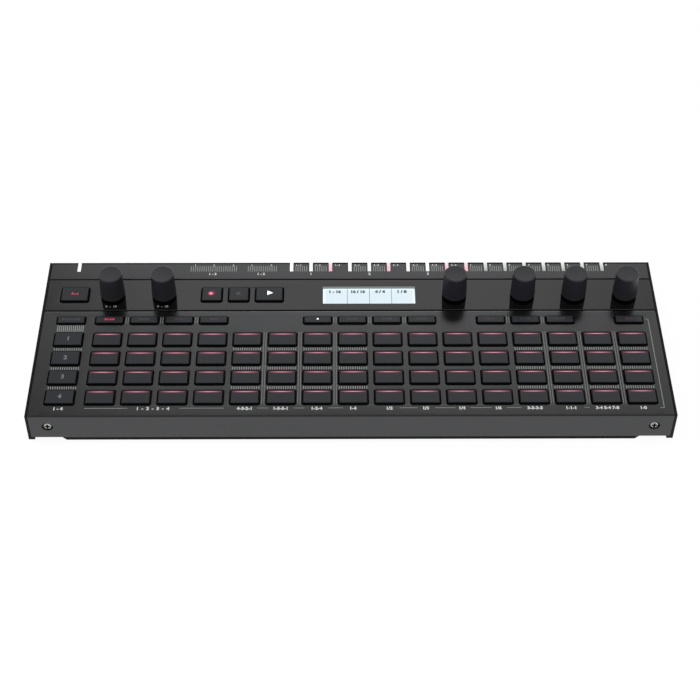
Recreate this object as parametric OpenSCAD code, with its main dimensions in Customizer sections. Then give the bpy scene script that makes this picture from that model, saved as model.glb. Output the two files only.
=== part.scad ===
// Desktop step sequencer: a level deck with a field of step pads, a glossy control strip and rear jacks.
// Millimetres. X runs to the right, Y to the rear and Z up.
// The origin is the centre of the footprint, on the surface that the feet stand on.

/* [Case] */
// Width over the two side plates
case_w = 340; // [336:1:370]
// Depth of the deck, from the face of the apron to the rear edge
deck_d = 115.5; // [114:0.5:125]
// Height of the deck above the underside of the bottom pan
case_h = 20.5; // [20:0.5:28]
// Height of the front apron
apron_h = 16.7; // [14:0.1:17.5]
// Height of a side plate
side_h = 19; // [17.5:0.1:19.5]
// Thickness of the deck, the apron and the control strip
sheet_t = 1.5; // [1.2:0.1:1.8]
// Outer radius of the bend between deck and apron
bend_r = 0.9; // [0.5:0.1:1.4]
// Thickness of a side plate
side_t = 3.2; // [2.6:0.1:4]
// Thickness of the side plate's skin, which shows beside the deck
skin_t = 1.2; // [0.8:0.1:1.6]
// Depth of the control strip, seam to seam
strip_d = 24; // [23:0.5:26]
// Depth of the rear strip of the deck, seam to rear edge
rear_d = 14; // [13.5:0.5:16]
// Width of the two seams across the deck
seam = 0.8; // [0.3:0.1:1]
// Thickness of the rear wall's lip, which shows behind the deck
lip_t = 0.7; // [0.5:0.1:1]
// Distance from a side plate to the sunk floor of the bottom pan
well_inset = 16.4; // [13:0.1:22]
// Height of a rubber foot
foot_h = 2; // [1.5:0.1:5]
// Diameter of a rubber foot
foot_dia = 12; // [8:0.5:16]

/* [Keys] */
// Distance from the outer key columns to the sides of the case
end_margin = 17; // [16:0.1:19]
// Distance from the left key column to the first step column
left_pitch = 21; // [19:0.5:22]
// Space between two pads of a row
pad_space = 4; // [3.6:0.1:6]
// Space between two rows of pads
row_space = 4.8; // [4.4:0.1:7]
// Distance from the face of the apron to the middle of the front row
front_row_y = 13; // [12.5:0.1:14.5]
// Distance from the rear row of pads to the mode buttons
mode_step = 14.5; // [13:0.1:16]
// Distance from the mode buttons to the seam behind them
mode_margin = 8; // [7:0.1:9]
// Depth of a half-height mode button
mode_d = 4.8; // [4:0.1:6]
// Width of the record and stop buttons
short_w = 11; // [9:0.1:12]
// Depth of the buttons in the control strip
strip_key_d = 10.2; // [7:0.1:11]
// Distance from the second knob to the record button
record_step = 26.5; // [24:0.5:28]
// Height of a key above the deck
key_proud = 1.3; // [1.3:0.1:3]
// Travel of a key
key_travel = 1.2; // [0.6:0.1:1.2]
// Gap between a key and the edge of its window
key_gap = 0.5; // [0.3:0.05:0.6]
// Corner radius of a key
key_r = 1; // [0.5:0.1:1.5]

/* [Knobs and display] */
// Diameter of a knob at its foot
knob_foot_dia = 13.6; // [11.5:0.1:14.5]
// Diameter of a knob at its crown
knob_crown_dia = 12.6; // [10.5:0.1:13.5]
// Height of a knob
knob_h = 15.7; // [13:0.1:20]
// Bevel around the foot of a knob
knob_bevel = 0.8; // [0.3:0.1:1.2]
// Gap between a knob and the deck
knob_gap = 0.8; // [0.5:0.1:1.2]
// Flutes around a knob
flutes = 36; // [24:1:48]
// Width of the display window
display_w = 51.8; // [46:0.1:54]
// Depth of the display window
display_d = 13.4; // [10:0.1:14]

/* [Rear] */
// Distance between jacks
jack_pitch = 11; // [10.8:0.1:11.2]
// Distance from the left side plate to the first jack
first_jack_in = 78.8; // [74:0.1:84]
// Least distance from the last jack to the right side plate
last_jack_in = 23.8; // [20:0.1:30]
// Bore of a jack
jack_bore = 3.6; // [3.55:0.05:3.9]
// Diameter of a jack's collar
collar_dia = 8; // [7:0.1:9]
// How far the collars stand out past the deck's rear edge
collar_proud = 0.5; // [0.3:0.1:2]
// How far the power lever stands out past the deck's rear edge
lever_proud = 1.5; // [0.5:0.1:3]
// Width of a light guide's notch
notch_w = 2; // [1.5:0.1:3]
// Length of a light guide's notch
notch_l = 7; // [5:0.1:8]

/* [Hidden] */
$fn = 48;
columns = 16;
rows = 4;
unlit_jacks = 5;
mode_columns = [0, 1, 2, 3, 4, 7, 8, 9, 10, 12, 13, 14, 16];
knob_columns = [1, 2.5, 11, 13, 14.5, 16];
through = 1;
fit = 0.1;

// Heights, down from the deck to the feet
deck_z = foot_h + case_h;
under_z = deck_z - sheet_t;
apron_z = deck_z - apron_h;
side_z = deck_z - side_h;
rim_sunk = 1.5;
rim_z = side_z + rim_sunk;
pan_t = 1;
rim_top_z = rim_z + pan_t;
floor_z = foot_h + pan_t;
board_t = 1.6;

// Depths, back from the apron to the jack collars
collar_out = deck_d + collar_proud;
overall_d = deck_d + max(collar_proud, lever_proud);
front_d = deck_d - strip_d - rear_d;
front_end = front_d - seam / 2;
strip_front = front_d + seam / 2;
strip_rear = front_d + strip_d - seam / 2;
rear_start = front_d + strip_d + seam / 2;
strip_y = front_d + strip_d / 2;
mode_y = front_d - mode_margin;
row_pitch = (mode_y - mode_step - front_row_y) / (rows - 1);
ledge = 2.5;
plate_t = 1.5;
plate_in = deck_d - plate_t;
panel_rear = deck_d - lip_t - fit;
pan_front = sheet_t + fit;
pan_rear = plate_in - fit;
well_rear_inset = 5.5;
well_rear = pan_rear - well_rear_inset;

// Widths
inner_w = case_w - 2 * side_t;
deck_w = case_w - 2 * (skin_t + fit);
web_w = inner_w - 2 * fit;
well_w = inner_w - 2 * well_inset;
span = case_w - 2 * end_margin;
pad_pitch = (span - left_pitch) / (columns - 1);
pad_w = pad_pitch - pad_space;
pad_d = row_pitch - row_space;
side_corner_r = 1.2;
key_web = 3;
long_w = pad_w;
record_x = col_x(knob_columns[1]) + record_step;
stop_x = record_x + short_w + 2 * key_gap + key_web;
play_x = stop_x + (short_w + long_w) / 2 + 2 * key_gap + key_web;

// Keys, with heights counted from the deck
flange_gap = 0.1;
flange_t = 1;
flange_lap = 1;
flange_out = key_gap + flange_lap;
flange_top = -sheet_t - flange_gap;
flange_foot = flange_top - flange_t;
stem_l = 1.3;
stem_r = 2;
stem_foot = flange_foot - stem_l;
key_chamfer = 0.35;
bar_end = 0.8;
bar_w = pad_w - 2 * bar_end;
bar_d = 0.7;
bar_sunk = 0.3;
bar_inset = 1.4;
stop_gap = 0.1;
switch_w = 6;
switch_h = 2.6;
plunger_h = 0.7;
plunger_r = 1.7;
board_top = deck_z + stem_foot - key_travel - stop_gap - plunger_h - switch_h;
board_z = board_top - board_t;
board_gap = 0.8;
board_rear_in = 3.25;
board_rear = strip_rear - board_rear_in;

// Encoders and knobs
shaft_r = 3;
shaft_play = 0.05;
bushing_r = 3.5;
encoder_w = 12;
encoder_gap = 0.2;
encoder_top = under_z - encoder_gap;
bushing_gap = 0.2;
bushing_lap = 1.5;
knob_z = deck_z + knob_gap;
bushing_top = knob_z + bushing_lap;
shaft_floor = 1;
shaft_foot = board_top + shaft_floor;
socket_roof = 4.7;
socket_l = knob_h - socket_roof;
shaft_gap = 0.2;
shaft_top = knob_z + socket_l - shaft_gap;
flat_depth = 0.8;
hollow_play = 0.8;
hollow_gap = 0.5;
hollow_top = bushing_lap + hollow_gap;
flute_r = 0.5;
flute_depth = 0.22;
flute_foot = 1.2;
crown_round = 1.1;

// Display
display_x = col_x((columns + 1) / 2);
glass_lap = 3.1;
glass_clear = 0.75;
glass_w = display_w + 2 * glass_lap;
glass_d = strip_d - seam - 2 * (ledge + glass_clear);
glass_t = 2.2;
glass_r = 0.8;
holder_inset = 1;
holder_wall = 3;

// Rear connectors
guide_foot_t = 2.4;
guide_lap = 0.5;
jack_space = 1;
jack_w = jack_pitch - jack_space;
jacks = floor((inner_w - first_jack_in - last_jack_in + fit) / jack_pitch) + 1;
jack_h = 10;
jack_l = 13;
jack_back = plate_in - fit - jack_l;
jack_depth = 14;
jack_top = under_z - guide_foot_t;
guide_x = concat([col_x(0)], [for (i = [unlit_jacks:jacks - 1]) jack_x(i)]);
jack_board_top = jack_top - jack_h;
jack_board_z = jack_board_top - board_t;
jack_board_l = 20;
jack_board_gap = 0.3;
jack_board_rear = plate_in - jack_board_gap;
jack_board_front = jack_board_rear - jack_board_l;
jack_z = jack_board_top + jack_h / 2;
port_pitch = 18;
usb_step = 16;
usb_x = jack_x(0) - usb_step;
usb_w = 12;
usb_l = 14.5;
usb_h = 10.6;
usb_z = jack_board_top + usb_h / 2;
usb_mouth_w = 8.5;
usb_mouth_h = 7.8;
usb_mouth_l = 9;
usb_cut = 1.6;
usb_tongue_w = 5.6;
usb_tongue_h = 3.2;
usb_tongue_in = 1.2;
dc_x = usb_x - port_pitch;
dc_w = 9;
dc_bore_r = 3.1;
dc_pin_r = 1;
dc_depth = 9.5;
power_x = dc_x - port_pitch;
power_w = 13;
power_h = 7;
power_l = 5;
lever_w = 3.2;
lever_h = 3.2;
lever_throw = 4;
lever_gap = 0.3;
grip_pitch = 1;
grip_w = 0.4;
grip_depth = 0.3;

// Fasteners
shank_r = 1.5;
head_r = 2.5;
head_h = 1;
screw_l = 5;
thread_play = 0.05;
pan_head_r = 2.6;
pan_head_h = 1.7;
recess_w = 0.8;
recess_l = 3;
recess_depth = 0.7;
apron_screw_in = 11;
apron_screw_x = case_w / 2 - apron_screw_in;
apron_screw_z = deck_z - apron_h / 2;
apron_sunk = 0.3;
block_w = 8.3;
block_l = 5;
block_h = 8.4;
rear_screw_x = inner_w / 2 - block_w / 2;
boss_w = 9;
boss_gap = 0.4;
boss_h = board_z - rim_top_z - boss_gap;
boss_end = 30;
boss_y = [boss_end, deck_d - boss_end];
base_screw_x = inner_w / 2 - boss_w / 2;
standoff_r = 2.5;
post_floor = 0.6;
board_post_columns = [1.5, 6.5, 10.5, 15.5];
board_post_in = 1;
board_post_y = [front_row_y + row_pitch / 2, front_d - board_post_in];
jack_post_x = [power_x, jack_x(2.5), jack_x(11.5), jack_x(jacks - 1)];
jack_post_in = 2.7;
jack_post_y = jack_board_front + jack_post_in;
jack_board_end = 17;
foot_in = 16;
foot_x = well_w / 2 - foot_in;
foot_front = 18;
foot_rear_in = 13;
foot_y = [foot_front, well_rear - foot_rear_in];
foot_bevel = 0.5;

function col_x(k) = -span / 2 + (k == 0 ? 0 : left_pitch + (k - 1) * pad_pitch);
function row_y(r) = front_row_y + (rows - r) * row_pitch;
function jack_x(i) = first_jack_in - inner_w / 2 + i * jack_pitch;

ROW_PADS = [for (r = [1:rows]) str("step_pads_row_", r)];
ROW_BUTTONS = [for (r = [1:rows]) str("row_button_", r)];
MODE_BUTTONS = [for (i = [1:len(mode_columns)]) str("mode_button_", i)];
KNOBS = [for (i = [1:len(knob_columns)]) str("knob_", i)];
SHAFTS = [for (i = [1:len(knob_columns)]) str("encoder_shaft_", i)];

// Moves a shape from the apron's face to the centred footprint
module seated() {
    translate([0, -overall_d / 2, 0]) children();
}

// A side view, drawn as depth and height, drawn out across the width
module across(w) {
    rotate([90, 0, 90]) linear_extrude(w, center = true) children();
}

module rounded(w, d, r) {
    square([w - 2 * r, d], center = true);
    square([w, d - 2 * r], center = true);
    for (sx = [-1, 1], sy = [-1, 1])
        translate([sx * (w / 2 - r), sy * (d / 2 - r)]) circle(r);
}

module box(x, y, z) {
    translate([x[0], y[0], z[0]]) cube([x[1] - x[0], y[1] - y[0], z[1] - z[0]]);
}

// Keys

module chamfered(w, h) {
    c = key_chamfer;
    polygon([[-w / 2, 0], [w / 2, 0], [w / 2, h - c], [w / 2 - c, h], [c - w / 2, h], [-w / 2, h - c]]);
}

// A key with its crown, the flange that holds it under the deck and the stem over its switch
module key(w, d) {
    crown_h = key_proud - flange_foot;
    translate([0, 0, flange_foot]) {
        intersection() {
            linear_extrude(crown_h) rounded(w, d, key_r);
            rotate([90, 0, 0]) linear_extrude(d + through, center = true) chamfered(w, crown_h);
            across(w + through) chamfered(d, crown_h);
        }
        linear_extrude(flange_t) rounded(w + 2 * flange_out, d + 2 * flange_out, key_r);
    }
    translate([0, 0, stem_foot]) cylinder(r = stem_r, h = stem_l + flange_t / 2);
}

// A step pad is a key with a shallow window for its light bar near the rear edge
module pad() {
    difference() {
        key(pad_w, pad_d);
        translate([-bar_w / 2, pad_d / 2 - bar_inset - bar_d / 2, key_proud - bar_sunk])
            cube([bar_w, bar_d, bar_sunk + through]);
    }
}

module key_window(w, d) {
    rounded(w + 2 * key_gap, d + 2 * key_gap, key_r);
}

module field_windows() {
    for (k = [0:columns], r = [1:rows]) translate([col_x(k), row_y(r)]) key_window(pad_w, pad_d);
    for (k = mode_columns) translate([col_x(k), mode_y]) key_window(pad_w, mode_d);
}

module strip_windows() {
    translate([col_x(0), strip_y]) key_window(long_w, strip_key_d);
    translate([record_x, strip_y]) key_window(short_w, strip_key_d);
    translate([stop_x, strip_y]) key_window(short_w, strip_key_d);
    translate([play_x, strip_y]) key_window(long_w, strip_key_d);
    for (k = knob_columns) translate([col_x(k), strip_y]) circle(bushing_r + bushing_gap);
    translate([display_x, strip_y]) square([display_w, display_d], center = true);
}

// Fasteners, with their heads up and the seat of the head at zero

module cross_recess(z) {
    for (a = [0, 90]) rotate(a)
        translate([-recess_w / 2, -recess_l / 2, z - recess_depth])
            cube([recess_w, recess_l, recess_depth + through]);
}

module flat_screw() {
    difference() {
        union() {
            translate([0, 0, -head_h]) cylinder(r1 = shank_r, r2 = head_r, h = head_h);
            translate([0, 0, -screw_l]) cylinder(r = shank_r, h = screw_l - head_h);
        }
        cross_recess(0);
    }
}

// The seat of a flat head, with a clear way for the shank
module flat_seat() {
    translate([0, 0, -head_h]) cylinder(r1 = shank_r, r2 = head_r, h = head_h);
    translate([0, 0, -screw_l]) cylinder(r = shank_r + thread_play, h = screw_l);
    cylinder(r = head_r, h = through);
}

module pan_screw(l) {
    difference() {
        union() {
            cylinder(r = pan_head_r, h = pan_head_h);
            translate([0, 0, -l]) cylinder(r = shank_r, h = l);
        }
        cross_recess(pan_head_h);
    }
}

module at_apron_screws() {
    for (s = [-1, 1]) translate([s * apron_screw_x, apron_sunk, apron_screw_z]) rotate([90, 0, 0]) children();
}

module at_rear_screws() {
    for (s = [-1, 1]) translate([s * rear_screw_x, deck_d, jack_z]) rotate([-90, 0, 0]) children();
}

module at_base_screws() {
    for (s = [-1, 1], y = boss_y) translate([s * base_screw_x, y, rim_z]) rotate([180, 0, 0]) children();
}

module at_board_posts() {
    for (k = board_post_columns, y = board_post_y) translate([col_x(k), y, board_z]) children();
}

module at_jack_posts() {
    for (x = jack_post_x) translate([x, jack_post_y, jack_board_z]) children();
}

// Case

// The well is drawn at its outside for a wall of zero and at its inside for the wall's thickness
module well(wall) {
    z0 = foot_h + wall;
    z1 = rim_top_z + wall;
    lean = wall * (sqrt(2) - 1);
    half = well_w / 2 - lean;
    rear = well_rear - (rim_z - foot_h) - lean;
    rise = z1 - z0;
    intersection() {
        rotate([90, 0, 0]) linear_extrude(3 * deck_d, center = true)
            polygon([[-half, z0], [half, z0], [half + rise, z1], [-half - rise, z1]]);
        across(case_w)
            polygon([[pan_front + wall, z0], [rear, z0], [rear + rise, z1], [pan_front + wall, z1]]);
    }
}

module bottom_pan() color("#17181a") seated() difference() {
    union() {
        box([-web_w / 2, web_w / 2], [pan_front, pan_rear], [rim_z, rim_top_z]);
        well(0);
    }
    well(pan_t);
    at_base_screws() flat_seat();
}

// The support under a seam: the sheet steps down by its own thickness and runs on below the strip
module step_down(y, side) {
    translate([y, under_z]) mirror([side < 0 ? 1 : 0, 0]) {
        translate([-sheet_t, -sheet_t]) square([sheet_t, 1.5 * sheet_t]);
        translate([-sheet_t, -sheet_t]) square([sheet_t + seam + ledge, sheet_t]);
    }
}

module front_panel() color("#4a4a4a") seated() difference() {
    union() {
        across(deck_w) difference() {
            union() {
                translate([bend_r, apron_z]) square([front_end - bend_r, apron_h]);
                translate([0, apron_z]) square([front_end, apron_h - bend_r]);
                translate([bend_r, deck_z - bend_r]) circle(bend_r);
            }
            translate([sheet_t, apron_z - through]) square([front_end, apron_h + through - sheet_t]);
        }
        across(web_w) step_down(front_end, 1);
    }
    translate([0, 0, under_z - through]) linear_extrude(sheet_t + 2 * through) field_windows();
    at_apron_screws() flat_seat();
}

module control_strip() color("#3d3d3b") seated()
    translate([0, 0, under_z]) linear_extrude(sheet_t) difference() {
        translate([-deck_w / 2, strip_front]) square([deck_w, strip_rear - strip_front]);
        strip_windows();
    }

// The cuts along the rear edge, from the deck's underside up
module notches() {
    for (x = guide_x) translate([x - notch_w / 2, deck_d - notch_l, under_z])
        cube([notch_w, 2 * notch_l, sheet_t + through]);
}

module rear_panel() color("#44433f") seated() difference() {
    union() {
        box([-deck_w / 2, deck_w / 2], [rear_start, panel_rear], [under_z, deck_z]);
        across(web_w) step_down(rear_start, -1);
    }
    notches();
}

module side_outline() {
    r = side_corner_r;
    translate([0, side_z + r]) square([deck_d, side_h - r]);
    translate([r, side_z]) square([deck_d - 2 * r, r]);
    for (y = [r, deck_d - r]) translate([y, side_z + r]) circle(r);
}

// The right side plate: an outer skin, a thicker inner layer that carries the deck and reaches under the apron,
// and blocks for the screws
module side_plate() {
    half = inner_w / 2;
    difference() {
        union() {
            translate([(case_w - skin_t) / 2, 0, 0]) across(skin_t) side_outline();
            translate([half + (side_t - skin_t) / 2, 0, 0]) across(side_t - skin_t) intersection() {
                side_outline();
                union() {
                    translate([pan_front, 0]) square([plate_in - pan_front, under_z]);
                    square([2 * pan_front, apron_z - fit]);
                }
            }
            box([half - block_w, half], [pan_front, pan_front + block_l],
                [apron_screw_z - block_h / 2, apron_screw_z + block_h / 2]);
            box([half - block_w, half], [plate_in - block_l, plate_in],
                [jack_z - block_h / 2, jack_z + block_h / 2]);
            for (y = boss_y)
                box([half - boss_w, half], [y - boss_w / 2, y + boss_w / 2], [rim_top_z, rim_top_z + boss_h]);
        }
        at_apron_screws() flat_seat();
        at_rear_screws() flat_seat();
        at_base_screws() flat_seat();
    }
}

module side_plate_right() color("#141517") seated() side_plate();

module side_plate_left() color("#141517") seated() mirror([1, 0, 0]) side_plate();

// The rear wall, with a thin lip that stands up behind the deck
module jack_plate() color("#1c1d1f") seated() difference() {
    union() {
        box([-deck_w / 2, deck_w / 2], [plate_in, deck_d], [rim_top_z, under_z]);
        box([-deck_w / 2, deck_w / 2], [deck_d - lip_t, deck_d], [rim_top_z, deck_z]);
    }
    notches();
    for (x = concat([for (i = [0:jacks - 1]) jack_x(i)], [dc_x]))
        translate([x, plate_in - through, jack_z]) rotate([-90, 0, 0])
            cylinder(d = collar_dia + 2 * fit, h = plate_t + 2 * through);
    box([usb_x - usb_w / 2 - fit, usb_x + usb_w / 2 + fit], [plate_in - through, deck_d + through],
        [usb_z - usb_h / 2 - fit, usb_z + usb_h / 2 + fit]);
    box([power_x - lever_throw - lever_w / 2 - lever_gap, power_x + lever_w / 2 + lever_gap],
        [plate_in - through, deck_d + through],
        [jack_z - lever_h / 2 - lever_gap, jack_z + lever_h / 2 + lever_gap]);
    at_rear_screws() flat_seat();
}

module rubber_feet() color("#101010") seated()
    for (s = [-1, 1], y = foot_y) translate([s * foot_x, y, 0]) rotate_extrude()
        polygon([[0, 0], [foot_dia / 2 - foot_bevel, 0], [foot_dia / 2, foot_bevel], [foot_dia / 2, foot_h],
            [0, foot_h]]);

module case_screws() color("#b9bbbd") seated() {
    at_apron_screws() flat_screw();
    at_rear_screws() flat_screw();
    at_base_screws() flat_screw();
}

// Boards

module panel_board() color("#1d4a2c") seated() difference() {
    box([board_gap - inner_w / 2, inner_w / 2 - board_gap], [pan_front + block_l + board_gap, board_rear],
        [board_z, board_top]);
    at_board_posts() translate([0, 0, -through]) cylinder(r = shank_r + fit, h = board_t + 2 * through);
}

module jack_board() color("#1d4a2c") seated() difference() {
    box([power_x - jack_board_end, jack_x(jacks - 1) + jack_w], [jack_board_front, jack_board_rear],
        [jack_board_z, jack_board_top]);
    at_jack_posts() translate([0, 0, -through]) cylinder(r = shank_r + fit, h = board_t + 2 * through);
}

module board_screws() color("#8d8f92") seated() {
    at_board_posts() translate([0, 0, board_t]) pan_screw(screw_l);
    at_jack_posts() translate([0, 0, board_t]) pan_screw(board_t + jack_board_z - floor_z - post_floor);
}

// A threaded post between the floor of the pan and a board
module post(h) {
    translate([0, 0, -h]) difference() {
        cylinder(r = standoff_r, h = h);
        translate([0, 0, post_floor - fit]) cylinder(r = shank_r + thread_play, h = h);
    }
}

module standoffs() color("#b9a15a") seated() {
    at_board_posts() post(board_z - floor_z);
    at_jack_posts() post(jack_board_z - floor_z);
}

module tact_switch() {
    translate([-switch_w / 2, -switch_w / 2, 0]) cube([switch_w, switch_w, switch_h]);
    cylinder(r = plunger_r, h = switch_h + plunger_h);
}

module tact_switches() color("#2a2a2c") seated() translate([0, 0, board_top]) {
    for (k = [0:columns], r = [1:rows]) translate([col_x(k), row_y(r), 0]) tact_switch();
    for (k = mode_columns) translate([col_x(k), mode_y, 0]) tact_switch();
    for (x = [col_x(0), record_x, stop_x, play_x]) translate([x, strip_y, 0]) tact_switch();
}

// Knobs

module encoder_bodies() color("#6d6f72") seated()
    for (k = knob_columns) translate([col_x(k), strip_y, 0]) difference() {
        union() {
            box([-encoder_w / 2, encoder_w / 2], [-encoder_w / 2, encoder_w / 2], [board_top, encoder_top]);
            translate([0, 0, encoder_top - through])
                cylinder(r = bushing_r, h = bushing_top - encoder_top + through);
        }
        translate([0, 0, shaft_foot - fit]) cylinder(r = shaft_r + shaft_play, h = bushing_top);
    }

// A shaft with a flat at its upper end, which the knob's socket follows
module flatted(r, flat, z0, z1) {
    difference() {
        translate([0, 0, z0]) cylinder(r = r, h = z1 - z0);
        translate([r - flat, -r - through, z0 - through])
            cube([2 * r, 2 * (r + through), z1 - z0 + 2 * through]);
    }
}

module encoder_shaft(i) color("#8a8c90") seated() translate([col_x(knob_columns[i - 1]), strip_y, 0]) {
    translate([0, 0, shaft_foot]) cylinder(r = shaft_r, h = knob_z + hollow_top - shaft_foot);
    flatted(shaft_r, flat_depth, bushing_top, shaft_top);
}

module knob_outline() {
    foot = knob_foot_dia / 2;
    crown = knob_crown_dia / 2;
    top = [for (a = [0:15:90]) [crown - crown_round * (1 - cos(a)), knob_h - crown_round * (1 - sin(a))]];
    polygon(concat([[0, 0], [foot - knob_bevel, 0], [foot, knob_bevel]], top, [[0, knob_h]]));
}

module knob(i) color("#232427") seated() translate([col_x(knob_columns[i - 1]), strip_y, knob_z]) {
    foot = knob_foot_dia / 2;
    lean = atan2((knob_foot_dia - knob_crown_dia) / 2, knob_h - crown_round - knob_bevel);
    difference() {
        rotate_extrude() knob_outline();
        for (n = [0:flutes - 1]) rotate(n * 360 / flutes)
            translate([foot + flute_r - flute_depth, 0, knob_bevel]) rotate([0, -lean, 0])
                translate([0, 0, flute_foot]) cylinder(r = flute_r, h = knob_h);
        flatted(shaft_r + shaft_play, flat_depth, -through, socket_l);
        translate([0, 0, -through]) cylinder(r = bushing_r + hollow_play, h = hollow_top + through);
    }
}

// Display

module glass_outline(inset) {
    rounded(glass_w - 2 * inset, glass_d - 2 * inset, glass_r);
}

module display_module() color("#dfeaf0") seated() translate([display_x, strip_y, under_z - glass_t])
    linear_extrude(glass_t) glass_outline(0);

module display_holder() color("#2a2a2c") seated() translate([display_x, strip_y, board_top])
    linear_extrude(under_z - glass_t - board_top) difference() {
        glass_outline(holder_inset);
        glass_outline(holder_inset + holder_wall);
    }

// Rear connectors

// A guide fills its notch to the deck and spreads into a foot below it
module light_guide(x) {
    w = notch_w - fit;
    front = deck_d - notch_l + fit / 2;
    foot_z = x < jack_x(0) ? jack_board_top : jack_top;
    box([x - w / 2, x + w / 2], [front, deck_d], [under_z, deck_z]);
    box([x - w / 2, x + w / 2], [front, plate_in - fit], [foot_z, deck_z]);
    box([x - notch_w, x + notch_w], [front - guide_lap, plate_in - fit], [foot_z, under_z]);
}

module light_guides() color("#e9ecec") seated() {
    for (x = guide_x) light_guide(x);
}

module mini_jack() {
    difference() {
        union() {
            box([-jack_w / 2, jack_w / 2], [jack_back, plate_in - fit], [jack_board_top, jack_top]);
            translate([0, plate_in - through, jack_z]) rotate([-90, 0, 0])
                cylinder(d = collar_dia, h = collar_out - plate_in + through);
        }
        translate([0, collar_out - jack_depth, jack_z]) rotate([-90, 0, 0])
            cylinder(d = jack_bore, h = jack_depth + through);
    }
}

module mini_jacks() color("#121214") seated()
    for (i = [0:jacks - 1]) translate([jack_x(i), 0, 0]) mini_jack();

// The mouth of the square port has its two upper corners cut off
module usb_mouth() {
    w = usb_mouth_w / 2;
    h = usb_mouth_h / 2;
    polygon([[-w, -h], [w, -h], [w, h - usb_cut], [w - usb_cut, h], [usb_cut - w, h], [-w, h - usb_cut]]);
}

module usb_port() color("#b4b6b8") seated() translate([usb_x, 0, 0]) {
    back = deck_d - usb_mouth_l;
    difference() {
        box([-usb_w / 2, usb_w / 2], [deck_d - usb_l, deck_d], [jack_board_top, jack_board_top + usb_h]);
        translate([0, deck_d + through, usb_z]) rotate([90, 0, 0])
            linear_extrude(usb_mouth_l + through) usb_mouth();
    }
    box([-usb_tongue_w / 2, usb_tongue_w / 2], [back - through, deck_d - usb_tongue_in],
        [usb_z - usb_tongue_h / 2, usb_z + usb_tongue_h / 2]);
}

module dc_jack() color("#121214") seated() translate([dc_x, 0, 0]) {
    difference() {
        union() {
            box([-dc_w / 2, dc_w / 2], [jack_back, plate_in - fit], [jack_board_top, jack_top]);
            translate([0, plate_in - through, jack_z]) rotate([-90, 0, 0])
                cylinder(d = collar_dia, h = collar_out - plate_in + through);
        }
        translate([0, collar_out - dc_depth, jack_z]) rotate([-90, 0, 0])
            cylinder(r = dc_bore_r, h = dc_depth + through);
    }
    translate([0, collar_out - dc_depth - through, jack_z]) rotate([-90, 0, 0])
        cylinder(r = dc_pin_r, h = dc_depth);
}

module power_switch() color("#2a2a2c") seated() translate([power_x - lever_throw / 2, 0, 0]) difference() {
    box([-power_w / 2, power_w / 2], [plate_in - fit - power_l, plate_in - fit],
        [jack_board_top, jack_z + power_h / 2]);
    box([-(lever_throw + lever_w) / 2 - lever_gap, (lever_throw + lever_w) / 2 + lever_gap],
        [plate_in - power_l / 2 - fit, deck_d],
        [jack_z - lever_h / 2 - lever_gap, jack_z + lever_h / 2 + lever_gap]);
}

// The lever stands at its on end and slides towards the left side plate
module power_lever() color("#0e0e0f") seated() translate([power_x, 0, jack_z]) difference() {
    box([-lever_w / 2, lever_w / 2], [plate_in - power_l / 2, deck_d + lever_proud],
        [-lever_h / 2, lever_h / 2]);
    for (n = [-1:1]) translate([n * grip_pitch - grip_w / 2, deck_d + lever_proud - grip_depth, -lever_h])
        cube([grip_w, through, 2 * lever_h]);
}

// Moving keys

module at_key(x, y) {
    translate([x, y, deck_z]) children();
}

module tap_button() color("#36383a") seated() at_key(col_x(0), strip_y) key(long_w, strip_key_d);

module record_button() color("#36383a") seated() at_key(record_x, strip_y) key(short_w, strip_key_d);

module stop_button() color("#36383a") seated() at_key(stop_x, strip_y) key(short_w, strip_key_d);

module play_button() color("#36383a") seated() at_key(play_x, strip_y) key(long_w, strip_key_d);

module step_pads_row(r) color("#36383a") seated()
    for (k = [1:columns]) at_key(col_x(k), row_y(r)) pad();

module row_button(r) color("#36383a") seated() at_key(col_x(0), row_y(r)) key(pad_w, pad_d);

module mode_button(i) color("#36383a") seated() at_key(col_x(mode_columns[i - 1]), mode_y) key(pad_w, mode_d);

bottom_pan();
front_panel();
control_strip();
rear_panel();
side_plate_left();
side_plate_right();
jack_plate();
panel_board();
jack_board();
tact_switches();
encoder_bodies();
display_module();
display_holder();
light_guides();
mini_jacks();
usb_port();
dc_jack();
power_switch();
power_lever();
rubber_feet();
case_screws();
board_screws();
standoffs();
tap_button();
record_button();
stop_button();
play_button();
for (r = [1:rows]) step_pads_row(r);
for (r = [1:rows]) row_button(r);
for (i = [1:len(mode_columns)]) mode_button(i);
for (i = [1:len(knob_columns)]) knob(i);
for (i = [1:len(knob_columns)]) encoder_shaft(i);
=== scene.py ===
import bmesh
import bpy
import math
from mathutils import Matrix, Vector


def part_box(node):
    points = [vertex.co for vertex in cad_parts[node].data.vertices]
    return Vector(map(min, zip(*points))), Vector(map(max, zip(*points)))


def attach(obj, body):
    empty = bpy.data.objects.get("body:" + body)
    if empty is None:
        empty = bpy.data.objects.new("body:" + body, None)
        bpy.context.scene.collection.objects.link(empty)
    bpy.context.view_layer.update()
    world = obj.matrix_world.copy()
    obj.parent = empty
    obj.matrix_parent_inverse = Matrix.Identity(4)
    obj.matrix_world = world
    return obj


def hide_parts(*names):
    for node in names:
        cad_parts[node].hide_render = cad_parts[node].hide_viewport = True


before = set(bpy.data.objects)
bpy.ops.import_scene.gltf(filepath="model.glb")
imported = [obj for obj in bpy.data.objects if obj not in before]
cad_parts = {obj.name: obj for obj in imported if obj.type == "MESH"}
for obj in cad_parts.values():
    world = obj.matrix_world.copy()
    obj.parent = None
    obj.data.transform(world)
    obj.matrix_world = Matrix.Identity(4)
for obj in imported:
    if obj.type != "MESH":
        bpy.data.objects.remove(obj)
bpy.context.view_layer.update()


# Bottom pan
# The tray that closes the case from below: folded sheet steel with a sunk floor and sloped ends, powder
# coated black. It is screwed up into the bosses of the side plates and carries the boards on brass posts.
MM = 0.001
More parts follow.
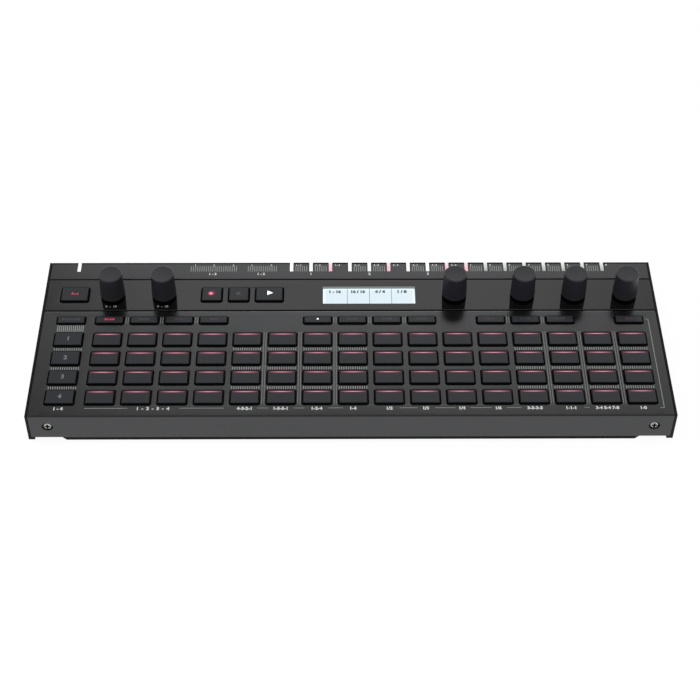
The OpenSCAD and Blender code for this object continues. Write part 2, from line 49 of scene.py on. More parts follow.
WELD_GAP, EASE_STEPS, EASE_ANGLE = 0.002, 2, 40


def linear(code):
    """An sRGB hex colour as linear light."""
    parts = [int(code[i:i + 2], 16) / 255 for i in (1, 3, 5)]
    return [c / 12.92 if c <= 0.04045 else ((c + 0.055) / 1.055) ** 2.4 for c in parts] + [1]


def add(tree, kind, inputs=None, **settings):
    """One node with its settings; a shader node's kind comes without the prefix ShaderNode.

    An input is a value, a hex colour, a socket, or a node whose first output it takes.
    """
    node = tree.nodes.new(kind if "Node" in kind else "ShaderNode" + kind)
    for key, value in settings.items():
        setattr(node, key, value)
    for key, value in (inputs or {}).items():
        if isinstance(value, bpy.types.Node):
            value = next(socket for socket in value.outputs if socket.enabled)
        if isinstance(value, bpy.types.NodeSocket):
            tree.links.new(value, node.inputs[key])
        else:
            node.inputs[key].default_value = linear(value) if str(value).startswith("#") else value
    return node


def new_material(name):
    material = bpy.data.materials.new(name)
    material.use_nodes = True
    material.node_tree.nodes.clear()
    return material, material.node_tree


def coat(tree, inputs):
    """The shader of a material, on its surface."""
    skin = add(tree, "BsdfPrincipled", inputs, name="skin")
    add(tree, "OutputMaterial", {"Surface": skin})


def per_mm(size):
    """The texture scale at which one wave of a pattern is this many millimetres long."""
    return 1 / (size * MM)


def grained(name, size, codes, rough, relief=None, lit=0, detail=2, cells=None, haze=None, more=None):
    """A material whose tone runs from one colour to another over a grain of this size in millimetres.

    The grain is noise, or cells of this kind. A pair for rough or lit runs over the grain too, and rough
    over a haze of its own size and detail where there is one. relief is the strength and depth of bumps.
    """
    material, t = new_material(name)
    spot = add(t, "TexCoord").outputs["Object"]
    place = {"Vector": spot, "Scale": per_mm(size)}
    if cells:
        grain = add(t, "TexVoronoi", place, feature=cells)
    else:
        grain = add(t, "TexNoise", {**place, "Detail": detail})
    tone = codes[0]
    if len(codes) > 1:
        tone = add(t, "Mix", {"Factor": grain, "A": tone, "B": codes[1]}, data_type="RGBA")
    inputs = {"Base Color": tone, "Emission Color": tone} if lit else {"Base Color": tone}
    if haze:
        haze = add(t, "TexNoise", {"Vector": spot, "Scale": per_mm(haze[0]), "Detail": haze[1]})
    for socket, value, pattern in (("Roughness", rough, haze or grain), ("Emission Strength", lit, grain)):
        if isinstance(value, tuple):
            value = add(t, "MapRange", {"Value": pattern, "To Min": value[0], "To Max": value[1]})
        inputs[socket] = value
    if relief:
        inputs["Normal"] = add(t, "Bump", {
            "Height": grain, "Strength": relief[0], "Distance": relief[1] * MM})
    coat(t, {**inputs, **(more or {})})
    return material


def dress(node, material, ease=0):
    """A CAD node keeps its shape and gets its finish; ease rounds its edges by that many millimetres."""
    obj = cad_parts[node]
    obj.data.materials.clear()
    obj.data.materials.append(material)
    if ease:
        obj.modifiers.new("joined", "WELD").merge_threshold = WELD_GAP * MM
        bevel = obj.modifiers.new("eased", "BEVEL")
        bevel.width, bevel.segments, bevel.limit_method = ease * MM, EASE_STEPS, "ANGLE"
        bevel.angle_limit = math.radians(EASE_ANGLE)


# Powder coat on steel: a soft black with the slight orange peel of baked powder, which breaks up its sheen.
shade_and_powder_coat = grained("powder_coated_steel", 1.2, ("#050505", "#0b0b0c"), (0.42, 0.58), relief=(0.25, 0.05),
                      detail=3, more={"Specular IOR Level": 0.12})

dress("bottom_pan", shade_and_powder_coat, ease=0.2)


# Rubber feet
# Four round feet, moulded in black rubber and stuck to the sunk floor of the pan. They lift the pan two
# millimetres off the table.

# Moulded rubber: dull black with a faint grey bloom in patches, a finer grit, and almost no highlight.
rubber = grained("moulded_rubber", 2.5, ("#0b0b0b", "#1a1a1a"), 0.85, detail=4)
t = rubber.node_tree
spot = add(t, "TexCoord").outputs["Object"]
grit = add(t, "TexNoise", {"Vector": spot, "Scale": per_mm(0.3), "Detail": 2})
bump = add(t, "Bump", {"Height": grit, "Strength": 0.3, "Distance": 0.03 * MM})
t.links.new(bump.outputs["Normal"], t.nodes["skin"].inputs["Normal"])

dress("rubber_feet", rubber)


# Boards, posts and board screws
# Two glass-epoxy circuit boards on brass posts, held by pan-head screws; the front one carries the keys'
# switches and the encoders, the rear one the connectors.

# Green solder mask over copper: tracks show as slightly lighter lines on a three-millimetre grid.
solder_mask, t = new_material("solder_mask_on_glass_epoxy")
spot = add(t, "TexCoord").outputs["Object"]
tracks = add(t, "TexBrick", {
    "Vector": spot, "Scale": per_mm(3), "Mortar Size": 0.06, "Brick Width": 1.7, "Row Height": 0.5,
    "Color1": "#123d22", "Color2": "#17472a", "Mortar": "#2b6a41"})
coat(t, {"Base Color": tracks, "Roughness": 0.35})

# Turned brass: a warm yellow metal with fine rings of tool marks that spread its highlight.
brass, t = new_material("turned_brass")
spot = add(t, "TexCoord").outputs["Object"]
rings = add(t, "TexWave", {"Vector": spot, "Scale": per_mm(2), "Distortion": 1}, bands_direction="Z")
shine = add(t, "MapRange", {"Value": rings.outputs["Fac"], "To Min": 0.22, "To Max": 0.36})
coat(t, {"Base Color": "#c3a55a", "Metallic": 1, "Roughness": shine})

# Nickel-plated steel: a bright, slightly warm metal with a cloudy sheen from the plating bath.
nickel = grained("nickel_plated_steel", 1.5, ("#a9a8a5", "#c8c7c4"), (0.1, 0.22), detail=3,
                 more={"Metallic": 1})

for board in ("panel_board", "jack_board"):
    dress(board, solder_mask)
dress("standoffs", brass)
dress("board_screws", nickel)


# Switches, encoders and display holder
# A tact switch under every key and a rotary encoder under every knob, all soldered to the front board. The
# switches and the display's frame are black nylon; the encoders are plated zinc castings with steel shafts.

# Moulded nylon: deep black, half dull, with a very fine spark-eroded texture.
nylon = grained("moulded_nylon", 0.25, ("#0b0b0c", "#17171a"), 0.5, relief=(0.2, 0.02))

# Plated zinc casting: a grey metal whose cast skin gives it a satin, slightly mottled shine.
zinc = grained("plated_zinc_casting", 0.8, ["#9b9c9e"], (0.3, 0.48), detail=3, more={"Metallic": 1})

dress("tact_switches", nylon)
dress("display_holder", nylon)
dress("encoder_bodies", zinc)
for i in range(1, 7):
    dress(f"encoder_shaft_{i}", zinc)


# Rear wall and connectors
# The steel rear wall with its thin lip behind the deck, and what shows through it: moulded mini jacks, a
# square data port in a tinned shell, a barrel jack and a slide switch. All of them stand on the rear board.

# Tinned steel: a pale folded shell with fine rolling lines along its depth.
tinned, t = new_material("tinned_steel")
spot = add(t, "TexCoord").outputs["Object"]
along = add(t, "Mapping", {"Vector": spot, "Scale": (1, 0.05, 1)})
rolled = add(t, "TexNoise", {"Vector": along, "Scale": per_mm(0.3), "Detail": 2})
shine = add(t, "MapRange", {"Value": rolled, "To Min": 0.2, "To Max": 0.38})
coat(t, {"Base Color": "#bfc0c1", "Metallic": 1, "Roughness": shine})

dress("jack_plate", shade_and_powder_coat, ease=0.12)
dress("usb_port", tinned, ease=0.15)
for part in ("mini_jacks", "dc_jack", "power_switch", "power_lever"):
    dress(part, nylon, ease=0.15)


# Side plates
# Two end plates of injection-moulded ABS. A thin skin stands up beside the deck, the thicker inner layer
# carries the deck and the rear wall, and blocks on it take the screws.

# Grained ABS: black, with a fine leathery mould texture about half a millimetre across.
grained_abs = grained("grained_abs", 0.5, ("#060607", "#0d0d0f"), 0.5, relief=(0.35, 0.06),
                      cells="SMOOTH_F1", more={"Specular IOR Level": 0.2})

for side in ("left", "right"):
    dress(f"side_plate_{side}", grained_abs, ease=0.7)


# Front panel
# The deck of the key field: one blank of sheet aluminium, punched with a window for every key, bent down at
# the front into the apron and stepped down at the rear under the control strip; blasted and anodised dark
# grey. The rounded edges of every window and screw hole are black: painted shade.
SHEET_T = 1.5
BEND_R, BEND_STEPS = 0.9, 5
KEY_GAP, KEY_R, FLANGE_OUT = 0.5, 0.7, 1.5
PAD_W, PAD_D, PAD_PITCH = 15.0, 9.2, 19.0
MODE_D = 4.8
LEDGE, LEDGE_IN = 3.3, 2.1
APRON_SCREW_IN, SCREW_HOLE_R = 11.0, 2.5
WINDOW_EDGE, SEAM_EDGE, HOLE_EDGE, SEAM_BACK = 0.25, 0.4, 0.5, 0.3
STEEP, LEVEL = 0.2, 0.98


def corners(node):
    """The lowest and highest corner of a CAD node, in millimetres."""
    return [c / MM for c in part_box(node)]


def middle(node):
    low, high = corners(node)
    return (low + high) / 2


def ring(width, depth, radius, x=0, y=0, steps=5):
    """The points of a rounded rectangle, counter-clockwise."""
    points = []
    for turn, (sx, sy) in enumerate(((1, 1), (-1, 1), (-1, -1), (1, -1))):
        for step in range(steps + 1):
            angle = math.radians(90 * (turn + step / steps))
            points.append((x + sx * (width / 2 - radius) + radius * math.cos(angle),
                           y + sy * (depth / 2 - radius) + radius * math.sin(angle)))
    return points


def hole(radius, x=0, y=0):
    return ring(2 * radius, 2 * radius, radius, x, y)


def window(width, depth, x, y):
    """The opening for a key of this size, with a gap all round."""
    return ring(width + 2 * KEY_GAP, depth + 2 * KEY_GAP, KEY_R, x, y)


def rectangle(x0, x1, y0, y1):
    return [(x0, y0), (x1, y0), (x1, y1), (x0, y1)]


def moved_out(loop, distance):
    """A counter-clockwise loop with each side moved out by a distance."""
    moved = []
    for before, here, after in zip(loop[-1:] + loop[:-1], loop, loop[1:] + loop[:1]):
        a = (Vector(here) - Vector(before)).normalized()
        b = (Vector(after) - Vector(here)).normalized()
        out = Vector((a.y + b.y, -a.x - b.x))
        out *= distance / max(1 + a.dot(b), 0.3)
        moved.append((here[0] + out.x, here[1] + out.y))
    return moved


def to_mesh(shape, name):
    mesh = bpy.data.meshes.new(name)
    shape.to_mesh(mesh)
    shape.free()
    return mesh


def plate(outline, openings, bottom, top, rim, steps=3):
    """A flat sheet, rounded by rim along its upper outer edge.

    Each opening is a loop that comes with the rounding of its own upper edge.
    """
    shape = bmesh.new()
    rims = {top: [], bottom: []}
    turns = [math.radians(90 * step / steps) for step in range(steps + 1)]
    for loop, way, r in [(outline, -1, rim)] + [(opening, 1, edge) for opening, edge in openings]:
        rows = [(moved_out(loop, way * r * (1 - math.sin(a))), top - r * (1 - math.cos(a))) for a in turns]
        rings = [[shape.verts.new((x, y, z)) for x, y in points] for points, z in rows + [(loop, bottom)]]
        for high, low in zip(rings, rings[1:]):
            for i in range(len(loop)):
                j = (i + 1) % len(loop)
                shape.faces.new((high[i], low[i], low[j], high[j])[::-way])
        for z, points in ((top, rings[0]), (bottom, rings[-1])):
            rims[z] += [shape.edges.get((points[i - 1], points[i])) for i in range(len(points))]
    for z, edges in rims.items():
        made = bmesh.ops.triangle_fill(shape, use_beauty=True, edges=edges)
        for face in (f for f in made["geom"] if isinstance(f, bmesh.types.BMFace)):
            face.normal_update()
            if (face.normal.z > 0) != (z == top):
                face.normal_flip()
    return shape


def put_bar(shape, x0, x1, y0, y1, z0, z1, finish=0):
    """A square bar in the same mesh, such as a folded ledge."""
    place = Matrix.Translation(((x0 + x1) / 2, (y0 + y1) / 2, (z0 + z1) / 2))
    size = Matrix.Diagonal((x1 - x0, y1 - y0, z1 - z0, 1))
    made = bmesh.ops.create_cube(shape, size=1, matrix=place @ size)
    for face in {f for v in made["verts"] for f in v.link_faces}:
        face.material_index = finish


def put_out(name, data):
    """An object in the scene, at the origin."""
    obj = bpy.data.objects.new(name, data)
    bpy.context.scene.collection.objects.link(obj)
    return obj


def evaluated(holder):
    """What an object's modifiers or curve make of it, as a plain mesh; the object itself goes."""
    mesh = bpy.data.meshes.new_from_object(holder.evaluated_get(bpy.context.evaluated_depsgraph_get()))
    bpy.data.objects.remove(holder)
    return mesh


def assemble(name, mesh, materials, body, replaced=(), sharp=35):
    """A finished piece: millimetres to metres, smooth but for its sharp edges, on its CAD body."""
    mesh.transform(Matrix.Scale(MM, 4))
    finish = [face.material_index for face in mesh.polygons]
    mesh.materials.clear()
    for material in materials:
        mesh.materials.append(material)
    mesh.polygons.foreach_set("material_index", finish)
    mesh.shade_smooth()
    mesh.set_sharp_from_angle(angle=math.radians(sharp))
    holder = put_out("holder", mesh)
    holder.modifiers.new("flat_faces_stay_flat", "WEIGHTED_NORMAL").keep_sharp = True
    obj = put_out(name, evaluated(holder))
    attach(obj, body)
    if replaced:
        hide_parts(*replaced)


def anodised_sheet(name, low, high):
    """Anodised aluminium, blasted before it was dyed: a dark metal with a grain that blurs what it mirrors.

    The grain is drawn at 0.35 mm, coarser than real grit, so that it shows in the render.
    """
    return grained(name, 0.35, (low, high), (0.2, 0.25), relief=(0.12, 0.02), haze=(25, 2),
                   more={"Metallic": 1})


# The rounded edge along the front seam is lighter than the faces: a painted highlight. The outside of
# the bend is darker: painted shade.
anodised = anodised_sheet("blasted_anodised_aluminium", "#484849", "#555657")
painted_highlight_edge = anodised_sheet("anodised_painted_highlight_edge", "#8e8f90", "#9b9c9d")
painted_shade_bend = anodised_sheet("anodised_painted_shade_bend", "#303031", "#39393a")

# Dead black on the stepped edges, which the strip is pressed onto: painted shade, so seams are black lines.
painted_seam_shade = grained("black_foam_tape", 0.4, ("#020202", "#070707"), 0.95, cells="F1",
                    more={"Specular IOR Level": 0.05})


def mark_edges(shape, low, high, finish):
    """The rounded edges of a sheet between two lines from side to side get another finish."""
    for face in shape.faces:
        face.normal_update()
        spot = face.calc_center_median()
        if STEEP < face.normal.z < LEVEL and low < spot.y < high and abs(spot.x) < half_w - 1:
            face.material_index = finish


panel_low, panel_high = corners("front_panel")
deck_z, apron_z, apron_y = panel_high.z, panel_low.z, panel_low.y
seam_y = panel_high.y - LEDGE
deck_rear = seam_y - SEAM_BACK
half_w = panel_high.x
mode_buttons = [f"mode_button_{i}" for i in range(1, 14)]
row_buttons = [f"row_button_{r}" for r in range(1, 5)]
first_x = corners("step_pads_row_1")[0].x + PAD_W / 2 + FLANGE_OUT
column_x = [middle("row_button_1").x] + [first_x + PAD_PITCH * k for k in range(16)]
row_y = [middle(name).y for name in row_buttons]
mode_y = middle("mode_button_1").y
windows = [(window(PAD_W, PAD_D, x, y), WINDOW_EDGE) for x in column_x for y in row_y]
windows += [(window(PAD_W, MODE_D, middle(name).x, mode_y), WINDOW_EDGE) for name in mode_buttons]

screw_x, screw_z = corners("side_plate_right")[1].x - APRON_SCREW_IN, (deck_z + apron_z) / 2
bend_start = apron_y + BEND_R
bend_l = math.pi / 2 * BEND_R
bend_end = bend_start - bend_l
blank_front = bend_end - (deck_z - BEND_R - apron_z)
screw_y = bend_end - (deck_z - BEND_R - screw_z)
windows += [(hole(SCREW_HOLE_R, s * screw_x, screw_y), HOLE_EDGE) for s in (-1, 1)]
blank = rectangle(-half_w, half_w, blank_front, deck_rear)
panel = plate(blank, windows, deck_z - SHEET_T, deck_z, SEAM_EDGE)
deck_finishes = [anodised, painted_seam_shade, painted_highlight_edge, shade_and_powder_coat, painted_shade_bend]
# The rounded rims of the windows and screw holes take the black powder coat: painted shade.
mark_edges(panel, blank_front + 1, deck_rear - 1, deck_finishes.index(shade_and_powder_coat))
for step in range(BEND_STEPS + 1):
    cut = Vector((0, bend_start - bend_l * step / BEND_STEPS, 0))
    bmesh.ops.bisect_plane(panel, geom=panel.verts[:] + panel.edges[:] + panel.faces[:], dist=1e-5,
                           plane_co=cut, plane_no=(0, 1, 0))
for v in panel.verts:
    depth, past = deck_z - v.co.z, bend_start - v.co.y
    inside = depth > SHEET_T / 2
    if past >= -1e-5:
        turn = min(past / BEND_R, math.pi / 2)
        v.co.y = bend_start - (BEND_R - depth) * math.sin(turn)
        v.co.z = deck_z - BEND_R + (BEND_R - depth) * math.cos(turn) - max(past - bend_l, 0)
        if inside:
            v.co.z = min(v.co.z, deck_z - SHEET_T)
    if inside:
        v.co.y = max(v.co.y, apron_y + SHEET_T)
bmesh.ops.remove_doubles(panel, verts=panel.verts, dist=1e-4)
bmesh.ops.dissolve_degenerate(panel, edges=panel.edges, dist=1e-5)
# Painted highlight on the deck's rounded rear edge, along the seam.
mark_edges(panel, deck_rear - SEAM_EDGE, deck_rear, deck_finishes.index(painted_highlight_edge))
# The ledge under the strip is dead black: painted shade in the seam.
ledge_x, ledge_low, ledge_top = half_w - LEDGE_IN, deck_z - 2 * SHEET_T, deck_z - SHEET_T
put_bar(panel, -ledge_x, ledge_x, seam_y - SHEET_T, seam_y + LEDGE, ledge_low, ledge_top,
        deck_finishes.index(painted_seam_shade))
# Painted shade on the outside of the bend.
mark_edges(panel, apron_y, bend_start, deck_finishes.index(painted_shade_bend))
assemble("deck_and_apron", to_mesh(panel, "deck_and_apron"), deck_finishes, "chassis",
         ["front_panel"])


# Control strip
# A strip of cast acrylic, black and polished, that lies flush between the two metal sheets on their stepped
# edges. Its openings were cut by laser: four keys, six encoder bushings and the display.
SHORT_W, LONG_W = 11.0, 15.0
STRIP_KEY_D = 10.2
DISPLAY_W, DISPLAY_D, DISPLAY_R = 51.8, 13.4, 0.3
BUSHING_R = 3.7
CUT_EDGE, STRIP_OVER, STRIP_OVER_REAR = 0.3, 0.25, 0.45
UPRIGHT, WALL_NEAR = 0.3, 0.05

# Polished cast acrylic: black all through, so its grey is the white room in its mirror surface. Acrylic has
# an IOR of 1.49; the little more stands for its hard coat.
acrylic = grained("polished_cast_acrylic", 0.4, ("#010101", "#080808"), (0.03, 0.07), haze=(6, 3),
                  more={"IOR": 1.52})

# The display opening's cut edge: matt from the laser, with a painted glow for the field's light below.
cut_edge_painted_glow = grained("matt_cut_acrylic_edge_painted_glow", 0.6, ("#787b7c", "#8c8f90"), 0.6, lit=0.9,
                   more={"Base Color": "#141515"})

strip_low, strip_high = corners("control_strip")
strip_y = (strip_low.y + strip_high.y) / 2
strip_keys = {"tap_button": LONG_W, "record_button": SHORT_W, "stop_button": SHORT_W, "play_button": LONG_W}
display_x = middle("display_module").x
openings = [window(width, STRIP_KEY_D, middle(name).x, strip_y) for name, width in strip_keys.items()]
openings += [hole(BUSHING_R, middle(f"knob_{i}").x, strip_y) for i in range(1, 7)]
openings += [ring(DISPLAY_W, DISPLAY_D, DISPLAY_R, display_x, strip_y)]
outline = rectangle(strip_low.x, strip_high.x, strip_low.y - STRIP_OVER, strip_high.y + STRIP_OVER_REAR)
strip = plate(outline, [(loop, CUT_EDGE) for loop in openings], strip_low.z, strip_high.z, CUT_EDGE)
# The walls of the display's opening take the painted glow.
for face in strip.faces:
    face.normal_update()
    off = face.calc_center_median() - Vector((display_x, strip_y, 0))
    near = abs(off.x) < DISPLAY_W / 2 + WALL_NEAR and abs(off.y) < DISPLAY_D / 2 + WALL_NEAR
    face.material_index = 1 if near and abs(face.normal.z) < UPRIGHT else 0
assemble("control_strip_acrylic", to_mesh(strip, "control_strip"), [acrylic, cut_edge_painted_glow], "chassis",
         ["control_strip"])


# Rear panel
# The strip of the deck behind the control strip, from the same anodised sheet as the front panel. Notches
# for the light guides are cut into its rear edge, whose rounded rims are black: painted shade.
NOTCH_W, NOTCH_L = 2.0, 7.0
REAR_RIM, REAR_SEAM_BACK = 0.3, 0.45
JACK_W, JACK_PITCH, FIRST_NOTCHED = 10.0, 11.0, 5

rear_low, rear_high = corners("rear_panel")
rear_edge = rear_high.y
guide_low, guide_high = corners("light_guides")
jack_x = [corners("mini_jacks")[0].x + JACK_W / 2 + JACK_PITCH * i for i in range(22)]
notched_x = jack_x[FIRST_NOTCHED:]
guide_x = [column_x[0]] + notched_x
notch_y = guide_high.y - NOTCH_L
rear_seam = rear_low.y + LEDGE + REAR_SEAM_BACK
outline = [(rear_low.x, rear_edge), (rear_low.x, rear_seam), (rear_high.x, rear_seam),
           (rear_high.x, rear_edge)]
for x in reversed(guide_x):
    outline += [(x + NOTCH_W / 2, rear_edge), (x + NOTCH_W / 2, notch_y), (x - NOTCH_W / 2, notch_y),
                (x - NOTCH_W / 2, rear_edge)]
rear = plate(outline, [], deck_z - SHEET_T, deck_z, REAR_RIM)
rear_finishes = [anodised, painted_seam_shade, shade_and_powder_coat]
# The rounded rims of the rear edge and the notches: black, painted shade.
mark_edges(rear, notch_y - REAR_RIM, rear_edge, rear_finishes.index(shade_and_powder_coat))
# The rear sheet's ledge under the strip is dead black too: painted shade in the seam.
put_bar(rear, -ledge_x, ledge_x, rear_low.y, rear_seam + SHEET_T, ledge_low, ledge_top,
        rear_finishes.index(painted_seam_shade))
assemble("rear_deck", to_mesh(rear, "rear_deck"), rear_finishes, "chassis", ["rear_panel"])


# Light guides
# Milky acrylic bars that carry the jacks' lamps up into the notches, each spreading into a foot on its
# jack. Eleven are lit, four of them red, and the other seven are dark, with a faint painted glow.
GUIDE_GAP, GUIDE_EDGE, GUIDE_EDGE_STEPS = 0.05, 0.12, 2
GUIDE_FOOT_T, FOOT_OUT, FOOT_BACK = 2.4, 0.5, 0.1
LIT_GUIDES, RED_GUIDES = 10, (2, 5, 8, 9)
NEAR = 0.01


def stacked(rows):
    """A closed shape through rings of points at given heights, with flat ends."""
    shape = bmesh.new()
    rings = [[shape.verts.new((x, y, z)) for x, y in points] for points, z in rows]
    for low, high in zip(rings, rings[1:]):
        for i in range(len(low)):
            j = (i + 1) % len(low)
            shape.faces.new((low[i], low[j], high[j], high[i]))
    shape.faces.new(rings[0][::-1])
    shape.faces.new(rings[-1])
    return shape


def new_tree(name, sockets):
    """A geometry tree with these inputs besides its geometry, and what they give."""
    tree = bpy.data.node_groups.new(name, "GeometryNodeTree")
    for label, kind in {"Geometry": "Geometry", **sockets}.items():
        tree.interface.new_socket(label, in_out="INPUT", socket_type="NodeSocket" + kind)
    tree.interface.new_socket("Geometry", in_out="OUTPUT", socket_type="NodeSocketGeometry")
    return tree, add(tree, "NodeGroupInput").outputs


def end_tree(tree, geometry, material):
    """The end of every tree: real geometry in its finish."""
    real = add(tree, "GeometryNodeRealizeInstances", {"Geometry": geometry})
    coloured = add(tree, "GeometryNodeSetMaterial", {"Geometry": real, "Material": material})
    add(tree, "NodeGroupOutput", {"Geometry": coloured})


def grown(mesh, tree, sizes):
    """A mesh put through a node tree whose named inputs take these sizes."""
    holder = put_out("holder", mesh)
    modifier = holder.modifiers.new("grow", "NODES")
    modifier.node_group = tree
    for item in tree.interface.items_tree:
        if item.in_out == "INPUT" and item.name in sizes:
            modifier[item.identifier] = sizes[item.name]
    return evaluated(holder)


copies, given = new_tree("copies_on_places", {"Part": "Object", "Finish": "Material"})
part = add(copies, "GeometryNodeObjectInfo", {"Object": given["Part"]}).outputs["Geometry"]
set_out = add(copies, "GeometryNodeInstanceOnPoints", {"Points": given["Geometry"], "Instance": part})
end_tree(copies, set_out, given["Finish"])


def repeated(mesh, places, finish):
    """One part set out on many places, as one mesh."""
    model = put_out("model", mesh)
    points = bpy.data.meshes.new("places")
    points.from_pydata(places, [], [])
    made = grown(points, copies, {"Part": model, "Finish": finish})
    bpy.data.objects.remove(model)
    return made


bar_w = NOTCH_W - 2 * GUIDE_GAP
bar_rear, foot_rear = guide_high.y, guide_high.y - SHEET_T - FOOT_BACK
bar_front = notch_y + GUIDE_GAP
sheet_low = deck_z - SHEET_T


def lit_acrylic(name, rear, front, strength):
    """Milky acrylic that glows: palest at the cut rear end, deeper in colour towards the front."""
    material, t = new_material(name)
    spot = add(t, "TexCoord").outputs["Object"]
    milk = add(t, "TexNoise", {"Vector": spot, "Scale": per_mm(2), "Detail": 2})
    depth = add(t, "SeparateXYZ", {"Vector": spot}).outputs["Y"]
    along = add(t, "MapRange", {"Value": depth, "From Min": bar_front * MM, "From Max": bar_rear * MM})
    share = add(t, "Math", {0: milk, 1: 0.2, 2: along}, operation="MULTIPLY_ADD")
    tone = add(t, "Mix", {"Factor": share, "A": front, "B": rear}, data_type="RGBA")
    coat(t, {"Base Color": tone, "Roughness": 0.3, "Emission Color": tone, "Emission Strength": strength})
    return material


def guide(foot_z):
    """A bar in its notch, over a wider foot."""
    shape = bmesh.new()
    put_bar(shape, -bar_w / 2, bar_w / 2, bar_front, bar_rear, sheet_low, deck_z)
    put_bar(shape, -NOTCH_W, NOTCH_W, bar_front - FOOT_OUT, foot_rear, foot_z, sheet_low)
    top = [e for e in shape.edges if all(v.co.z > deck_z - NEAR for v in e.verts)]
    bmesh.ops.bevel(shape, geom=top, offset=GUIDE_EDGE, segments=GUIDE_EDGE_STEPS, affect="EDGES")
    return to_mesh(shape, "guide")


white_x = [x for k, x in enumerate(notched_x[:LIT_GUIDES]) if k not in RED_GUIDES]
white_acrylic = lit_acrylic("milky_acrylic_lit_white", "#eceeed", "#f2f3f3", 0.35)
red_acrylic = lit_acrylic("milky_acrylic_lit_red", "#c9b4b8", "#c78f9b", 0.8)
# The dark guides have no lamp: their faint glow and its fall towards the front are painted light and shade.
dark_acrylic_painted_glow = lit_acrylic("milky_acrylic_dark_painted_glow", "#e6e8e5", "#9fa19e", 0.25)
jack_foot = sheet_low - GUIDE_FOOT_T
for name, places_x, foot_z, finish in (
        ("guides_white", white_x, jack_foot, white_acrylic),
        ("guides_red", [notched_x[k] for k in RED_GUIDES], jack_foot, red_acrylic),
        ("guides_dark", notched_x[LIT_GUIDES:], jack_foot, dark_acrylic_painted_glow),
        ("guide_left", guide_x[:1], guide_low.z, white_acrylic)):
    bars = repeated(guide(foot_z), [(x, 0, 0) for x in places_x], finish)
    replaced = ["light_guides"] if name == "guides_white" else ()
    assemble(name, bars, [finish], "chassis", replaced)


# Display
# A backlit liquid-crystal module behind the window of the strip: a glass sandwich on a black bezel frame.
# Its lit field has four cells, each with a small numeral at its top.
FIELD_MARGIN, FIELD_T = 0.25, 0.2
GLASS_ROUNDS, GLASS_EASE = (0.8, 0.7), 0.15
FIELD_ROUNDS, FIELD_EASE = (0.2, 0.15), 0.05
READOUT_H, READOUT_UP, READOUT_BOLD, READOUT_T = 2.5, 4.0, 0.07, 0.02
READOUTS = {"1 - 16": -18.9, "16 / 16": -6, "4 / 4": 6.2, "1 / 8": 18.6}
CELL_LINES, LINE_HALF, LINE_SHORT = (-12.1, 0.3, 12.6), 0.12, 0.2

# Display glass: almost black where no light comes through, with a clean hard gloss.
dark_glass = grained("display_glass", 8, ["#15181a"], (0.04, 0.12), detail=3, more={"IOR": 1.52})

# Backlit liquid crystal: a cool white field, a little brighter towards its edges, with the pixel grid as
# faint lines. The pixels are drawn at 0.45 mm.
backlit, t = new_material("backlit_liquid_crystal")
spot = add(t, "TexCoord").outputs["Object"]
pixels = add(t, "TexBrick", {
    "Vector": spot, "Scale": per_mm(0.45), "Mortar Size": 0.08, "Brick Width": 1, "Row Height": 1,
    "Color1": "#e6f3fa", "Color2": "#e0f0f8", "Mortar": "#d8eaf3"}, offset=0)
place = add(t, "Attribute", attribute_name="place").outputs["Vector"]
apart = add(t, "VectorMath", {0: place}, operation="ABSOLUTE")
axes = add(t, "SeparateXYZ", {"Vector": apart}).outputs
ends = add(t, "MapRange", {"Value": axes["X"], "From Min": 0.93, "From Max": 1})
rims = add(t, "MapRange", {"Value": axes["Y"], "From Min": 0.72, "From Max": 1})
edge = add(t, "Math", {0: ends, 1: rims}, operation="MAXIMUM")
light = add(t, "MapRange", {"Value": edge, "To Min": 0.95, "To Max": 1.25})
coat(t, {"Base Color": "#20262a", "Roughness": 0.2, "Emission Color": pixels, "Emission Strength": light})

# Switched-off crystal: dark grey-blue strokes on the lit field.
crystal = grained("switched_crystal", 0.6, ("#2b3236", "#4a5459"), 0.3, lit=0.5)


def joined(meshes):
    shape = bmesh.new()
    for mesh in meshes:
        shape.from_mesh(mesh)
    return to_mesh(shape, "joined")


def keep_place(mesh, x_scale, y_scale, x0=0, y0=0):
    """Each point's own place on the part, kept as an attribute that its copies carry along."""
    place = mesh.attributes.new("place", "FLOAT_VECTOR", "POINT")
    place.data.foreach_set("vector", [c for v in mesh.vertices
                                      for c in ((v.co.x - x0) / x_scale, (v.co.y - y0) / y_scale, 0)])


def numeral(text, height, x, y, z, thick, bold=0.03):
    """Digits as a thin mesh, centred on a place."""
    curve = bpy.data.curves.new("numeral", "FONT")
    curve.body, curve.extrude, curve.resolution_u, curve.offset = text, 0.5, 3, bold
    mesh = evaluated(put_out("numeral", curve))
    low = [min(v.co[k] for v in mesh.vertices) for k in range(3)]
    high = [max(v.co[k] for v in mesh.vertices) for k in range(3)]
    grow = height / (high[1] - low[1])
    mesh.transform(Matrix.Translation((-(low[0] + high[0]) / 2, -(low[1] + high[1]) / 2, -low[2])))
    mesh.transform(Matrix.Diagonal((grow, grow, thick / (high[2] - low[2]), 1)))
    mesh.transform(Matrix.Translation((x, y, z)))
    return mesh


def display_block(width, depth, rounds, ease, bottom, top):
    """A low block on the middle of the display, with its upper edge eased."""
    foot = ring(width, depth, rounds[0], display_x, strip_y)
    crown = ring(width - 2 * ease, depth - 2 * ease, rounds[1], display_x, strip_y)
    return to_mesh(stacked([(foot, bottom), (foot, top - ease), (crown, top)]), "block")


